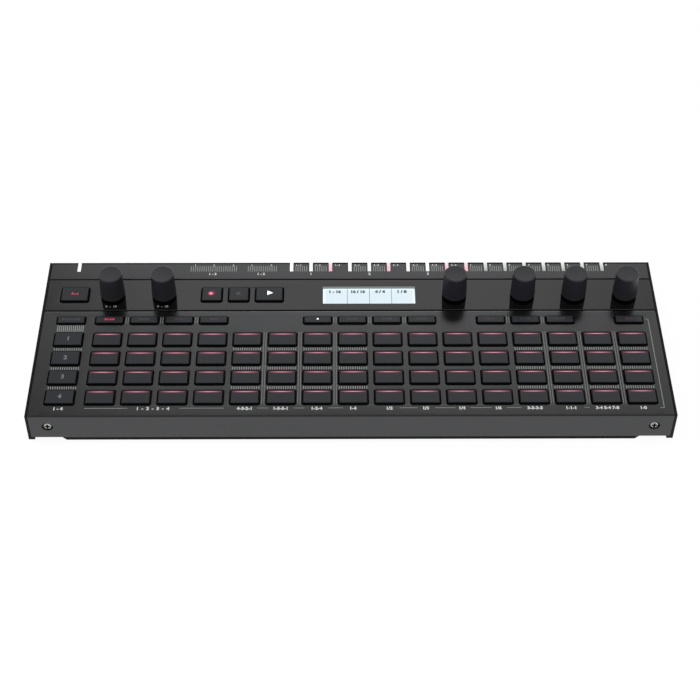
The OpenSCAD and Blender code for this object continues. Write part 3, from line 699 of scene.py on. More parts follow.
glass_low, glass_high = corners("display_module")
glass_size, glass_top = glass_high - glass_low, glass_high.z
field_low = glass_top - FIELD_T
sandwich = display_block(glass_size.x, glass_size.y, GLASS_ROUNDS, GLASS_EASE, glass_low.z, field_low)
assemble("display_glass_body", sandwich, [dark_glass], "chassis", ["display_module"])
field_w, field_d = DISPLAY_W - 2 * FIELD_MARGIN, DISPLAY_D - 2 * FIELD_MARGIN
field = display_block(field_w, field_d, FIELD_ROUNDS, FIELD_EASE, field_low, glass_top)
keep_place(field, field_w / 2, field_d / 2, display_x, strip_y)
assemble("display_field", field, [backlit], "chassis")

printed, given = new_tree("printed_bars", {"Ink height": "Float", "Ink": "Material"})
flat = add(printed, "GeometryNodeInputNamedAttribute", {"Name": "flat_size"}, data_type="FLOAT_VECTOR")
lift = add(printed, "CombineXYZ", {"Z": given["Ink height"]})
full = add(printed, "VectorMath", {0: flat, 1: lift}, operation="ADD")
cell = add(printed, "GeometryNodeMeshCube")
bars = add(printed, "GeometryNodeInstanceOnPoints", {
    "Points": given["Geometry"], "Instance": cell, "Scale": full})
end_tree(printed, bars, given["Ink"])


def print_bars(bars, z, height, ink):
    """Printed bars, each given as x0, x1, y0, y1, lying on a surface."""
    mesh = bpy.data.meshes.new("bars")
    mesh.from_pydata([((x0 + x1) / 2, (y0 + y1) / 2, z + height / 2) for x0, x1, y0, y1 in bars], [], [])
    sizes = mesh.attributes.new("flat_size", "FLOAT_VECTOR", "POINT")
    sizes.data.foreach_set("vector", [c for x0, x1, y0, y1 in bars for c in (x1 - x0, y1 - y0, 0)])
    return grown(mesh, printed, {"Ink height": height, "Ink": ink})


line_end = field_d / 2 - LINE_SHORT
cell_lines = [(display_x + x - LINE_HALF, display_x + x + LINE_HALF, strip_y - line_end, strip_y + line_end)
              for x in CELL_LINES]
readout = [numeral(text, READOUT_H, display_x + x, strip_y + READOUT_UP, glass_top, READOUT_T, READOUT_BOLD)
           for text, x in READOUTS.items()]
readout.append(print_bars(cell_lines, glass_top, READOUT_T, crystal))
assemble("display_readout", joined(readout), [crystal], "chassis")


# Keys
# Every key is an ABS moulding: a dark grey crown with a rounded edge, over a black skirt whose flange
# keeps it under the deck and whose stem rests on its switch. The black band round the sides and rear of
# the crown's top, and the black of its side and rear walls, are painted shade. Step pads have a slot for
# a light bar.
KEY_PROUD = 1.3
KEY_EDGE, KEY_EDGE_STEPS, FACE_D = 0.2, 3, 0.5
SHADE, SHADE_AT_BAR, SHADE_R = 0.45, 0.75, 0.5
FLANGE_TOP, FLANGE_T = 1.6, 1.0
STEM_R, STEM_L = 2.0, 1.3
BAR_W, BAR_D, BAR_R, BAR_SUNK, BAR_INSET = 13.4, 0.42, 0.1, 0.3, 1.6
FORWARD, FLAT = -0.2, 0.9


def satin_abs(name):
    """Satin ABS: dark grey with a fine eroded texture; its softness comes from the roughness."""
    return grained(name, 0.3, ("#171a1f", "#1f2228"), 0.4, relief=(0.15, 0.02))


def black_abs(name):
    """Black ABS: dull and very dark, and partly painted shade: the gap round each key reads black."""
    return grained(name, 0.4, ("#030303", "#080808"), 0.7, more={"Specular IOR Level": 0.15})


crown_abs = satin_abs("satin_abs_crown")
skirt_abs_and_shade = black_abs("black_abs_skirt_and_painted_shade")
crown_z = deck_z + KEY_PROUD


def key(width, depth, slot_y=None):
    """A key from the foot of its stem to its crown, at the origin and at deck height.

    The grey of the crown wraps over the front edge, and stops short of the other three: the black band there
    is painted shade.
    """
    flange = ring(width + 2 * FLANGE_OUT, depth + 2 * FLANGE_OUT, KEY_R)
    stem, side = hole(STEM_R), ring(width, depth, KEY_R)
    flange_z = deck_z - FLANGE_TOP
    foot_z = flange_z - FLANGE_T
    rows = [(stem, foot_z - STEM_L), (stem, foot_z), (flange, foot_z), (flange, flange_z), (side, flange_z),
            (side, crown_z - FACE_D)]
    for step in range(KEY_EDGE_STEPS + 1):
        turn = math.radians(90 / KEY_EDGE_STEPS * step)
        inset = KEY_EDGE * (1 - math.cos(turn))
        rows.append((ring(width - 2 * inset, depth - 2 * inset, KEY_R - inset),
                     crown_z - KEY_EDGE * (1 - math.sin(turn))))
    inset = SHADE if slot_y is None else SHADE_AT_BAR
    rows.append((ring(width - 2 * SHADE, depth - SHADE - inset, SHADE_R, 0, (SHADE - inset) / 2), crown_z))
    if slot_y is not None:
        slot = ring(BAR_W, BAR_D, BAR_R, 0, slot_y)
        rows += [(slot, crown_z), (slot, crown_z - BAR_SUNK)]
    shape = stacked(rows)
    grey = shape.faces.layers.int.new("grey")
    for face in shape.faces:
        face.normal_update()
        spot = face.calc_center_median()
        front = face.normal.y < FORWARD or spot.y < SHADE - depth / 2
        inside = abs(spot.x) < width / 2 - SHADE and spot.y < depth / 2 - inset
        face[grey] = spot.z > crown_z - FACE_D and (front if face.normal.z < FLAT else front or inside)
    return to_mesh(shape, "key")


def part_finishes(mesh):
    """The faces marked grey get the first finish, and the others the second."""
    for face, grey in zip(mesh.polygons, mesh.attributes["grey"].data):
        face.material_index = 0 if grey.value else 1


key_bodies = {name: (PAD_W, PAD_D) for name in row_buttons}
key_bodies.update({name: (PAD_W, MODE_D) for name in mode_buttons})
key_bodies.update({name: (width, STRIP_KEY_D) for name, width in strip_keys.items()})
for name, (width, depth) in key_bodies.items():
    mesh = key(width, depth)
    part_finishes(mesh)
    mesh.transform(Matrix.Translation((*middle(name).xy, 0)))
    # The black finish on the crown's border and walls is painted shade.
    assemble(name + "_key", mesh, [crown_abs, skirt_abs_and_shade], name, [name])


# Step pads and their light bars
# Four rows of sixteen pads. A bar of clear acrylic in each pad's slot is lit red from below: pale pink in
# the middle and dim at both ends. Its light tints the plastic next to it.
BAR_GAP, BAR_EASE, BAR_EASE_R, BAR_EASE_LOW, BAR_LOW = 0.02, 0.05, 0.08, 0.06, 0.02
bar_y = PAD_D / 2 - BAR_INSET


def along_bar(t):
    """How near its bar's ends a point lies, and how far from the bar's middle line.

    The attribute place runs from -1 to 1 along the bar. Across it, a pad
    counts in the bar's depth, and the bar itself in half of it.
    """
    place = add(t, "Attribute", attribute_name="place").outputs["Vector"]
    axes = add(t, "SeparateXYZ", {"Vector": place}).outputs
    ends = add(t, "Math", {0: axes["X"], 1: axes["X"]}, operation="MULTIPLY")
    return ends, add(t, "Math", {0: axes["Y"]}, operation="ABSOLUTE")


def lit_by_bar(material):
    """The bar's red light leaks into the plastic close to it, more in the middle than at the bar's ends."""
    t = material.node_tree
    skin = t.nodes["skin"]
    ends, far = along_bar(t)
    close = add(t, "MapRange", {
        "Value": far, "From Min": 0.6, "From Max": 3.2, "To Min": 1, "To Max": 0},
        interpolation_type="SMOOTHERSTEP")
    centre = add(t, "MapRange", {
        "Value": ends, "From Min": 0.1, "From Max": 1.1, "To Min": 1, "To Max": 0.15},
        interpolation_type="SMOOTHSTEP")
    leak = add(t, "Math", {0: close, 1: centre}, operation="MULTIPLY")
    skin.inputs["Emission Color"].default_value = linear("#5c1628")
    t.links.new(leak.outputs["Value"], skin.inputs["Emission Strength"])
    plain = skin.inputs["Base Color"].links[0].from_socket
    tint = add(t, "Mix", {"Factor": close, "A": plain, "B": "#12060a"}, data_type="RGBA")
    t.links.new(tint.outputs["Result"], skin.inputs["Base Color"])
    return material


# The pad's crown and skirt are the plastics of the other keys, tinted by the red light of the bar.
pad_abs = lit_by_bar(satin_abs("satin_abs_pad_crown"))
pad_skirt_and_shade = lit_by_bar(black_abs("black_abs_pad_skirt"))

# Clear acrylic over a red lamp: the lamp sits below the bar's middle, so the light thins out to both ends.
bar_acrylic, t = new_material("red_lit_acrylic_bar")
ends, far = along_bar(t)
wide = add(t, "Math", {0: far, 1: 0.2, 2: ends}, operation="MULTIPLY_ADD")
glow = add(t, "ValToRGB", {"Fac": wide})
stops = glow.color_ramp.elements
stops[0].color, stops[1].color = linear("#fbc9d9"), linear("#4a3a42")
for at, code in ((0.2, "#dc9bb2"), (0.5, "#a37d91"), (0.8, "#7c5e70")):
    stops.new(at).color = linear(code)
coat(t, {"Base Color": "#2a080f", "Roughness": 0.2, "Emission Color": glow, "Emission Strength": 1.0})

pad = key(PAD_W, PAD_D, bar_y)
keep_place(pad, BAR_W / 2, BAR_D, 0, bar_y)
side = ring(BAR_W - 2 * BAR_GAP, BAR_D - 2 * BAR_GAP, BAR_R, 0, bar_y)
face = ring(BAR_W - 2 * BAR_EASE, BAR_D - 2 * BAR_EASE, BAR_EASE_R, 0, bar_y)
bar_rows = [(side, crown_z - BAR_SUNK), (side, crown_z - BAR_EASE_LOW), (face, crown_z - BAR_LOW)]
bar = to_mesh(stacked(bar_rows), "bar")
keep_place(bar, BAR_W / 2, BAR_D / 2, 0, bar_y)
for r, y in enumerate(row_y, 1):
    body = f"step_pads_row_{r}"
    places = [(x, y, 0) for x in column_x[1:]]
    row = repeated(pad, places, pad_abs)
    # The pads' black border and walls are painted shade too.
    part_finishes(row)
    assemble(body + "_keys", row, [pad_abs, pad_skirt_and_shade], body, [body])
    assemble(body + "_bars", repeated(bar, places, bar_acrylic), [bar_acrylic], body)


# Knobs
# Six push-on knobs of soft black plastic, slightly tapered, with fine flutes round the side, a shallow dish
# in the top and a bevelled foot. A blind socket holds each one on its encoder shaft.
KNOB_FOOT_R, KNOB_CROWN_R, KNOB_H, SIDE_STEPS, KNOB_SHARP = 6.8, 6.3, 15.7, 8, 28
KNOB_BEVEL, CROWN_ROUND, DISH_R, DISH = 0.8, 0.45, 5.85, 0.15
FLUTES, FLUTE_DEPTH, FLUTE_STEPS, FLUTE_LEAST_R = 36, 0.13, 6, 5.0
FLUTE_FROM, FLUTE_RISE, FLUTE_FALL = -0.3, 1.0, 0.8
HOLLOW_R, HOLLOW_TOP, SOCKET_R, SOCKET_TOP = 4.3, 2.0, 3.05, 11.0

# Soft-touch plastic: near black and half dull, with a fine grain; its gloss lightens its rounded edges.
soft_plastic = grained("soft_touch_plastic", 0.35, ("#1e1f24", "#292a30"), 0.4, relief=(0.15, 0.02))

fluted, given = new_tree("fluted_side", {
    "Flutes": "Float", "Depth": "Float", "Foot": "Float", "Crown": "Float", "Least radius": "Float",
    "Plastic": "Material"})
spot = add(fluted, "GeometryNodeInputPosition")
axes = add(fluted, "SeparateXYZ", {"Vector": spot}).outputs
level = add(fluted, "CombineXYZ", {"X": axes["X"], "Y": axes["Y"]})
out = add(fluted, "VectorMath", {0: level}, operation="NORMALIZE")
radius = add(fluted, "VectorMath", {0: level}, operation="LENGTH")
turn = add(fluted, "Math", {0: axes["Y"], 1: axes["X"]}, operation="ARCTAN2")
wave = add(fluted, "Math", {0: turn, 1: given["Flutes"]}, operation="MULTIPLY")
wave = add(fluted, "Math", {0: wave}, operation="COSINE")
cut = add(fluted, "MapRange", {"Value": wave, "From Min": FLUTE_FROM, "From Max": 1})
past = add(fluted, "Math", {0: given["Foot"], 1: FLUTE_RISE}, operation="ADD")
rise = add(fluted, "MapRange", {"Value": axes["Z"], "From Min": given["Foot"], "From Max": past})
short = add(fluted, "Math", {0: given["Crown"], 1: FLUTE_FALL}, operation="SUBTRACT")
fall = add(fluted, "MapRange", {"Value": axes["Z"], "From Min": given["Crown"], "From Max": short})
side = add(fluted, "Math", {0: radius, 1: given["Least radius"]}, operation="GREATER_THAN")
amount = rise
for factor in (fall, side, cut, given["Depth"], -1.0):
    amount = add(fluted, "Math", {0: amount, 1: factor}, operation="MULTIPLY")
push = add(fluted, "VectorMath", {0: out, "Scale": amount}, operation="SCALE")
pressed = add(fluted, "GeometryNodeSetPosition", {"Geometry": given["Geometry"], "Offset": push})
end_tree(fluted, pressed, given["Plastic"])


def turned(profile, steps):
    """A closed turned shape from a profile of radius and height, up the outside and down the inside."""
    shape = bmesh.new()
    rings = []
    for radius, z in profile:
        turns = [2 * math.pi * step / steps for step in range(steps)] if radius else [0]
        rings.append([shape.verts.new((radius * math.cos(a), radius * math.sin(a), z)) for a in turns])
    for low, high in zip(rings, rings[1:]):
        for i in range(steps if len(low) + len(high) > 2 else 0):
            j = (i + 1) % steps
            face = [low[i % len(low)], low[j % len(low)], high[j % len(high)], high[i % len(high)]]
            shape.faces.new(list(dict.fromkeys(face)))
    bmesh.ops.remove_doubles(shape, verts=shape.verts, dist=1e-4)
    return shape


crown_foot = KNOB_H - CROWN_ROUND
profile = [(HOLLOW_R, 0), (KNOB_FOOT_R - KNOB_BEVEL, 0), (KNOB_FOOT_R, KNOB_BEVEL)]
for step in range(1, SIDE_STEPS + 1):
    share = step / SIDE_STEPS
    profile.append((KNOB_FOOT_R + (KNOB_CROWN_R - KNOB_FOOT_R) * share,
                    KNOB_BEVEL + (crown_foot - KNOB_BEVEL) * share))
for out, down in ((0.75, 0.55), (0.1, 0.05), (0, 0)):
    profile.append((DISH_R + (KNOB_CROWN_R - DISH_R) * out, KNOB_H - CROWN_ROUND * down))
for share in (0.8, 0.6, 0.4, 0.2, 0):
    profile.append((DISH_R * share, KNOB_H - DISH * (1 - share ** 2)))
profile += [(0, SOCKET_TOP), (SOCKET_R, SOCKET_TOP), (SOCKET_R, HOLLOW_TOP), (HOLLOW_R, HOLLOW_TOP),
            (HOLLOW_R, 0)]
cap = grown(to_mesh(turned(profile, FLUTES * FLUTE_STEPS), "cap"), fluted, {
    "Flutes": float(FLUTES), "Depth": FLUTE_DEPTH, "Foot": KNOB_BEVEL, "Crown": crown_foot,
    "Least radius": FLUTE_LEAST_R, "Plastic": soft_plastic})
for i in range(1, 7):
    name = f"knob_{i}"
    mesh = cap.copy()
    mesh.transform(Matrix.Translation((middle(name).x, strip_y, corners(name)[0].z)))
    assemble(name + "_cap", mesh, [soft_plastic], name, [name], sharp=KNOB_SHARP)


# Case screws
# Cross-head screws of nickel-plated steel: two sunk into the apron, two in the rear wall and four under the
# pan. They pull the sheets against the blocks of the side plates. The heads are domed; the recesses are
# black, painted shade.
SIDE_T = 3.2
HEAD_R, HEAD_FLAT_R, HEAD_RIM, HEAD_LOW, HEAD_STEPS = 2.3, 1.55, 0.95, 1.2, 4
SHANK_R, SCREW_L, CIRCLE_STEPS = 1.5, 5.0, 24
CROSS_W, CROSS_L, CROSS_DEPTH = 1.1, 3.0, 1.0
APRON_SUNK, BLOCK_W, BOSS_W, BOSS_END = 0.3, 8.3, 9.0, 30.0


def cross(width, length):
    """A cross of 24 points, counter-clockwise, in step with a circle of as many."""
    w, l = width / 2, length / 2
    arm = [(l, 0), (l, w), ((l + w) / 2, w), (w, w), (w, (l + w) / 2), (w, l)]
    turns = ((1, 0), (0, 1), (-1, 0), (0, -1))
    return [(a * x - b * y, b * x + a * y) for a, b in turns for x, y in arm]


def circle(radius):
    turns = [math.radians(360 / CIRCLE_STEPS * i) for i in range(CIRCLE_STEPS)]
    return [(radius * math.cos(a), radius * math.sin(a)) for a in turns]


def screw():
    """A screw along the Z axis with its crown at the origin; all but the recess is marked grey."""
    rows = [(circle(SHANK_R), -SCREW_L), (circle(SHANK_R), -HEAD_LOW), (circle(HEAD_R), -HEAD_RIM)]
    for step in range(1, HEAD_STEPS + 1):
        turn = math.radians(90 / HEAD_STEPS * step)
        rows.append((circle(HEAD_FLAT_R + (HEAD_R - HEAD_FLAT_R) * math.cos(turn)),
                     HEAD_RIM * (math.sin(turn) - 1)))
    rows += [(cross(CROSS_W, CROSS_L), 0), (cross(CROSS_W / 2, CROSS_L * 0.6), -CROSS_DEPTH)]
    shape = stacked(rows)
    grey = shape.faces.layers.int.new("grey")
    for face in shape.faces:
        spot = face.calc_center_median()
        sunk = -CROSS_DEPTH - NEAR < spot.z < -NEAR and math.hypot(spot.x, spot.y) < HEAD_FLAT_R
        face[grey] = not sunk
    return to_mesh(shape, "screw")


plate_high = corners("side_plate_right")[1]
block_x, boss_x = plate_high.x - SIDE_T - BLOCK_W / 2, plate_high.x - SIDE_T - BOSS_W / 2
rear_wall_z, pan_z = middle("mini_jacks").z, corners("case_screws")[0].z
boss_ys = (apron_y + BOSS_END, plate_high.y - BOSS_END)
screws = []
for turn, places in (
        (90, [(s * screw_x, apron_y + APRON_SUNK, screw_z) for s in (-1, 1)]),
        (-90, [(s * block_x, plate_high.y, rear_wall_z) for s in (-1, 1)]),
        (180, [(s * boss_x, y, pan_z) for s in (-1, 1) for y in boss_ys])):
    mesh = screw()
    mesh.transform(Matrix.Rotation(math.radians(turn), 4, "X"))
    placed = repeated(mesh, places, nickel)
    part_finishes(placed)
    screws.append(placed)
# The black of the cross recesses is painted shade.
assemble("case_screws_nickel", joined(screws), [nickel, skirt_abs_and_shade], "chassis",
         ["case_screws"])


# Printed marks
# Screen-printed ink on the anodised deck: tick rows, rules and plain numerals, in white and two greys. The
# ink stands a fortieth of a millimetre proud.
INK, BOLD, REAR_BOLD = 0.025, 0.05, 0.06
LABEL_H, REAR_H, SMALL_H, KNOB_LABEL_H = 2.2, 1.9, 1.3, 1.6
LABEL_Y, RULE_Y, KNOB_LABEL_Y, REAR_Y, SMALL_Y = 5.4, 5.6, 80.6, 106.3, 113.4
TICK_W, TICK_PITCH, TICK_HALF, TICKS_HALF = 0.5, 1.2, 0.95, 7.6
REAR_PITCH, REAR_FRONT, REAR_BACK, REAR_FREE = 1.22, 108.3, 112.6, 2.0
PAIR_OUT, PAIR_HALF, RULE_W = 0.6, 0.2, 0.35
BRACKET_X, BRACKET_FRONT, BRACKET_BACK = 163.75, 5.3, 70.2
RULES = ((-139.3, -117.0), (-89.8, -66.5), (-49.1, -43.4), (-30.0, -24.6), (-12.0, -4.5), (25.1, 34.5),
         (43.9, 54.3), (62.2, 73.2), (81.3, 88.9), (121.9, 124.5))
STEP_LABELS = ("4-3-2-1", "1-3-3-1", "1-2-4", "1-4", "1/2", "1/3", "1/4", "1/6", "3-3-3-3", "1-1-1",
               "3-4 5-4 7-8", "1-0")


def screen_ink(name, code, deep):
    """Screen ink: dull and opaque, a little uneven where the mesh of the screen left it thinner."""
    return grained(name, 0.5, (deep, code), 0.6)


white_ink = screen_ink("white_screen_ink", "#e6e8e6", "#d0d3d0")
grey_ink = screen_ink("grey_screen_ink", "#9a9d9b", "#858886")
dim_ink = screen_ink("dim_screen_ink", "#858886", "#717472")


def ticks(x0, x1, y0, y1, pitch=TICK_PITCH, width=TICK_W):
    count = int((x1 - x0) / pitch)
    start = (x0 + x1 - count * pitch) / 2
    return [(start + i * pitch - width / 2, start + i * pitch + width / 2, y0, y1) for i in range(count + 1)]


def rule(x0, x1, y):
    return (x0, x1, y - RULE_W / 2, y + RULE_W / 2)


front = apron_y
grey_bars = [rule(x0, x1, front + RULE_Y) for x0, x1 in RULES]
low, high = front + BRACKET_FRONT, front + BRACKET_BACK
grey_bars += [rule(162.0, BRACKET_X, high), rule(161.5, BRACKET_X, low)]
grey_bars += [(BRACKET_X - PAIR_HALF, BRACKET_X + PAIR_HALF, low, high)]
spans = [(column_x[k] - TICKS_HALF, column_x[k] + TICKS_HALF) for k in (5, 6, 7, 8, 13, 14, 15, 16)]
for x0, x1 in spans + [(-160.0, -145.3)]:
    for above, below in zip(row_y, row_y[1:]):
        y = (above + below) / 2
        grey_bars += ticks(x0, x1, y - TICK_HALF, y + TICK_HALF)
grey_bars += ticks(-160.3, -145.5, front + 61.25, front + 66.1, 1.07, 0.55)
spans = [(notched_x[k] + REAR_FREE, notched_x[k + 1] - REAR_FREE) for k in (0, 1, 3, 4, 6, 7, *range(9, 16))]
for x0, x1 in spans + [(-90.2, -63.7), (-57.5, -41.6)]:
    grey_bars += ticks(x0, x1, front + REAR_FRONT, front + REAR_BACK, REAR_PITCH)
dim_bars = []
for columns, y0, y1 in (((5, 6, 7, 13, 14, 15), 8.6, 60.75), ((1, 2, 3, 7, 8, 9, 12, 13), 67.4, 72.3)):
    for k in columns:
        for x in [(column_x[k] + column_x[k + 1]) / 2 + s * PAIR_OUT for s in (-1, 1)]:
            dim_bars.append((x - PAIR_HALF, x + PAIR_HALF, front + y0, front + y1))

labels = [("1 - 4", column_x[0]), ("1  -  2  -  3  -  4", -103.5), *zip(STEP_LABELS, column_x[5:])]
rear_labels = [("1 - 3", -77.3), ("1 - 2", -50.0), *zip("123", (notched_x[k] for k in (1, 4, 7)))]
small_labels = [(f"{k // 3 + 1} - {k % 3 + 1}", notched_x[k] + 4.0) for k in range(9)]
small_labels += [(str(k + 1), notched_x[9 + k] + 2.6) for k in range(8)]
small_labels += zip("12312", (-87.5, -77.0, -66.0, -55.5, -44.5))
rows = ((labels, LABEL_H, LABEL_Y, BOLD), (rear_labels, REAR_H, REAR_Y, REAR_BOLD),
        (small_labels, SMALL_H, SMALL_Y, REAR_BOLD))
numerals = [numeral(text, height, x, front + y, deck_z, INK, bold)
            for texts, height, y, bold in rows for text, x in texts]
ranges = [numeral("0  -  10", KNOB_LABEL_H, middle(f"knob_{i}").x - 0.3, front + KNOB_LABEL_Y, deck_z, INK)
          for i in (1, 2)]
for name, bars, texts, ink in (
        ("marks_white", [], numerals, white_ink), ("marks_grey", grey_bars, ranges, grey_ink),
        ("marks_dim", dim_bars, [], dim_ink)):
    meshes = texts + ([print_bars(bars, deck_z, INK, ink)] if bars else [])
    assemble(name, joined(meshes), [ink], "chassis")


# Key legends
# Small translucent marks in the crowns of the keys, lit from their switches: red or white where a lamp is
# on, and otherwise dim prints. They are plain numerals, rows of steps and transport signs.
LEGEND_T, HALO_T, CORE_T = 0.02, 0.008, 0.03
STEP_W, STEP_PITCH, STEP_DROP = 0.9, 1.4, 0.25
ROW_NUMERAL_H, TAP_STEPS, TAP_H = 3.0, 3, 1.7


def legend_finish(name, code, strength):
    """A translucent print over a lamp, a little uneven in its light."""
    return grained(name, 0.8, [code], 0.45, lit=(0.85 * strength, 1.1 * strength))


red_core = legend_finish("legend_lit_red_core", "#d48ca2", 0.65)
red_on = legend_finish("legend_lit_red", "#b0344c", 0.6)
red_low = legend_finish("legend_low_red", "#a83a4b", 0.6)
red_dim = legend_finish("legend_dim_red", "#59363e", 0.25)
white_on = legend_finish("legend_lit_white", "#f4f4f2", 0.9)
# The unlit marks and the printed numerals still get a faint glow, with no lamp under them: painted light.
grey_off = legend_finish("legend_unlit_painted_glow", "#43464a", 0.05)
grey_print = legend_finish("legend_print_painted_glow", "#74777b", 0.1)

# A lamp's red light in the crown round a lit mark: the same satin ABS, with a glow that fades outwards.
red_halo = satin_abs("satin_abs_round_red_lamp")
t = red_halo.node_tree
place = add(t, "Attribute", attribute_name="place").outputs["Vector"]
far = add(t, "VectorMath", {0: place}, operation="LENGTH")
glow = add(t, "MapRange", {"Value": far, "From Min": 0.2, "From Max": 1, "To Min": 1, "To Max": 0},
           interpolation_type="SMOOTHSTEP")
t.nodes["skin"].inputs["Emission Color"].default_value = linear("#601020")
t.links.new(glow.outputs["Result"], t.nodes["skin"].inputs["Emission Strength"])


def steps(count, key_name, tall):
    """A row of little bars of unlike heights, in the middle of a key."""
    place = middle(key_name)
    low = place.y - tall / 2
    middles = [place.x + (i - (count - 1) / 2) * STEP_PITCH for i in range(count)]
    return [(x - STEP_W / 2, x + STEP_W / 2, low, low + tall * (1 - STEP_DROP * (i * 2 % 3)))
            for i, x in enumerate(middles)]


def flat_mark(points, thick):
    """A thin closed mark from its outline, at the origin."""
    return to_mesh(stacked([(points, 0), (points, thick)]), "mark")


mode_marks = {1: (7, 1.2, grey_off), 2: (4, 1.4, red_on), 4: (3, 0.8, red_dim), 5: (3, 0.8, red_dim),
              6: (1, 1.0, white_on), 10: (3, 0.8, red_dim), 13: (3, 1.0, red_dim)}
for i, name in enumerate(mode_buttons, 1):
    count, tall, finish = mode_marks.get(i, (4, 1.0, grey_off))
    mark = print_bars(steps(count, name, tall), crown_z, LEGEND_T, finish)
    assemble(f"mode_legend_{i}", mark, [finish], name)
for r, name in enumerate(row_buttons, 1):
    mark = numeral(str(r), ROW_NUMERAL_H, *middle(name).xy, crown_z, LEGEND_T)
    assemble(f"row_legend_{r}", mark, [grey_print], name)
for name, width, depth in (("mode_button_2", 9, 3.8), ("record_button", 6, 6)):
    mark = flat_mark(ring(width, depth, depth / 2.01), HALO_T)
    keep_place(mark, width / 2, depth / 2)
    mark.transform(Matrix.Translation((*middle(name).xy, crown_z)))
    assemble(name + "_halo", mark, [red_halo], name)
signs = {
    "record_sign": ("record_button", ring(2.9, 2.7, 1.3, -0.5), LEGEND_T, red_on),
    "record_sign_core": ("record_button", ring(1.7, 1.5, 0.7, -0.5), CORE_T, red_core),
    "stop_sign": ("stop_button", ring(2.3, 2.1, 0.2, -0.3), LEGEND_T, grey_off),
    "play_sign": ("play_button", [(-1.1, -1.3), (2.1, 0.35), (-1.1, 2.0)], LEGEND_T, white_on)}
for name, (button, points, thick, finish) in signs.items():
    mark = flat_mark(points, thick)
    mark.transform(Matrix.Translation((*middle(button).xy, crown_z)))
    assemble(name, mark, [finish], button)
mark = print_bars(steps(TAP_STEPS, "tap_button", TAP_H), crown_z, LEGEND_T, red_low)
assemble("tap_sign", mark, [red_low], "tap_button")


# Studio
# A pale sweep of floor in a white room: one large soft lamp over the front of the table, and a camera on
# the photograph's viewing line.
FLOOR_W = 6.0
CAMERA_AT, CAMERA_TURN = (-0.008808, -0.619004, 0.666193), (43.3528, -0.3331, -0.4576)
LENS, SENSOR_W, SHIFT_X = 84.34, 36, -0.0006
LAMP_W, LAMP_D, LAMP_POWER, LAMP_AT = 1.6, 1.0, 9, (-0.3, -0.5, 1.35)

# Matt white paint: it shows as white to the camera and in mirrors, and keeps a soft shadow.
floor_paint, t = new_material("matt_white_floor_paint")
spot = add(t, "TexCoord").outputs["Object"]
roller = add(t, "TexNoise", {"Vector": spot, "Scale": per_mm(40), "Detail": 3})
tone = add(t, "Mix", {"Factor": roller, "A": "#f4f4f4", "B": "#f8f8f8"}, data_type="RGBA")
paint = add(t, "BsdfDiffuse", {"Color": tone})
path = add(t, "LightPath").outputs
level = add(t, "Math", {0: path["Is Glossy Ray"], 1: -0.06, 2: 1.04}, operation="MULTIPLY_ADD")
white = add(t, "Emission", {"Color": (1, 1, 1, 1), "Strength": level})
seen = path["Is Camera Ray"]
for ray in ("Is Glossy Ray", "Is Transmission Ray"):
    seen = add(t, "Math", {0: seen, 1: path[ray]}, operation="MAXIMUM")
share = add(t, "Math", {0: seen, 1: 0.9}, operation="MULTIPLY")
blend = add(t, "MixShader", {0: share, 1: paint, 2: white})
add(t, "OutputMaterial", {"Surface": blend})

floor_mesh = bpy.data.meshes.new("floor")
half = FLOOR_W / 2
floor_mesh.from_pydata([(x, y, 0) for x, y in rectangle(-half, half, -half, half)], [], [(0, 1, 2, 3)])
floor_mesh.materials.append(floor_paint)
put_out("floor", floor_mesh)

# The room as mirrors see it: a white wall behind the table that ends at eye height and darkens to both
# sides, under a dark ceiling, so that level surfaces mirror a soft gradient; all else is an even grey.
WALL_TOP, WALL_FADE, OVERHEAD, OVERHEAD_FULL = [math.sin(math.radians(a)) for a in (47.5, 51.5, 64, 74)]
WALL, CEILING, AROUND, AMBIENT = 1.3, 0.12, 0.8, 0.55
LEAST_AHEAD = 0.2
world = bpy.data.worlds.new("white_room")
bpy.context.scene.world = world
world.use_nodes = True
t = world.node_tree
t.nodes.clear()
way = add(t, "TexCoord").outputs["Generated"]
axes = add(t, "SeparateXYZ", {"Vector": way}).outputs
height = add(t, "MapRange", {
    "Value": axes["Z"], "From Min": WALL_TOP, "From Max": WALL_FADE, "To Min": WALL, "To Max": CEILING},
    interpolation_type="SMOOTHSTEP")
behind = add(t, "Math", {0: axes["Y"], 1: LEAST_AHEAD}, operation="MAXIMUM")
aside = add(t, "Math", {0: axes["X"], 1: behind}, operation="DIVIDE")
walls = height
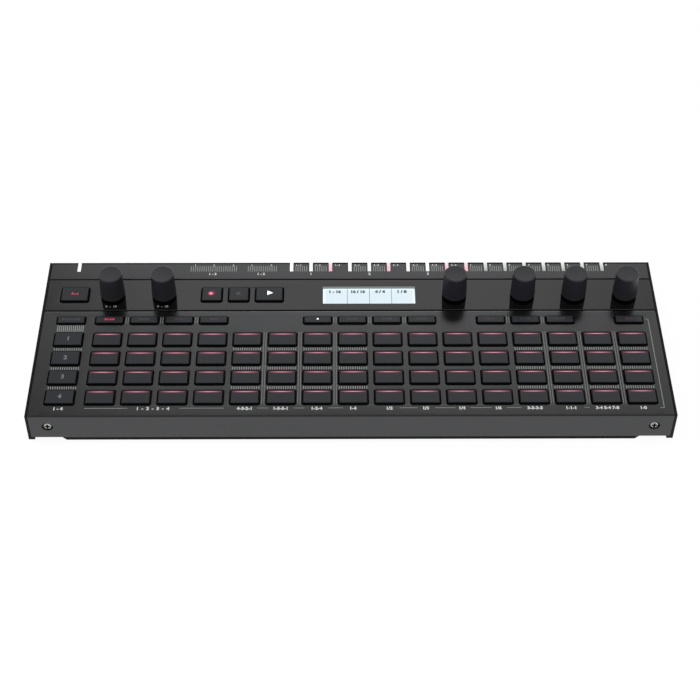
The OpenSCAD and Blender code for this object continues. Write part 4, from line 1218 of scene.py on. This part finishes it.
for x0, x1, from_level, to_level in ((-0.36, -0.12, 0.25, 1), (0.1, 0.38, 1, 0.6)):
    fade = add(t, "MapRange", {
        "Value": aside, "From Min": x0, "From Max": x1, "To Min": from_level, "To Max": to_level},
        interpolation_type="SMOOTHSTEP")
    walls = add(t, "Math", {0: walls, 1: fade}, operation="MULTIPLY")
off = add(t, "Math", {0: aside}, operation="ABSOLUTE")
away = add(t, "MapRange", {"Value": off, "From Min": 0.6, "From Max": 1.1})
for axis, start, full in (("Y", 0.15, -0.2), ("Z", OVERHEAD, OVERHEAD_FULL)):
    part = add(t, "MapRange", {"Value": axes[axis], "From Min": start, "From Max": full})
    away = add(t, "Math", {0: away, 1: part}, operation="MAXIMUM")
walls = add(t, "Mix", {"Factor": away, "A": walls, "B": AROUND})
path = add(t, "LightPath").outputs
direct = add(t, "Math", {0: path["Is Camera Ray"], 1: path["Is Transmission Ray"]}, operation="MAXIMUM")
level = add(t, "Mix", {"Factor": path["Is Glossy Ray"], "A": AMBIENT, "B": walls})
level = add(t, "Mix", {"Factor": direct, "A": level, "B": 1.0})
room = add(t, "Background", {"Color": (1, 1, 1, 1), "Strength": level})
add(t, "OutputWorld", {"Surface": room})

lamp = bpy.data.lights.new("soft_box", "AREA")
lamp.shape, lamp.size, lamp.size_y, lamp.energy = "RECTANGLE", LAMP_W, LAMP_D, LAMP_POWER
soft_box = put_out("soft_box", lamp)
soft_box.location = LAMP_AT
soft_box.rotation_euler = (Vector((0, 0, 0)) - soft_box.location).to_track_quat("-Z", "Y").to_euler()
soft_box.visible_glossy = False

camera_data = bpy.data.cameras.new("camera")
camera_data.lens, camera_data.sensor_width, camera_data.shift_x = LENS, SENSOR_W, SHIFT_X
camera_data.clip_start, camera_data.clip_end = 0.01, 20
camera = put_out("camera", camera_data)
camera.location = CAMERA_AT
camera.rotation_euler = [math.radians(a) for a in CAMERA_TURN]
bpy.context.scene.camera = camera
bpy.context.scene.view_settings.view_transform = "Standard"

bpy.context.view_layer.update()
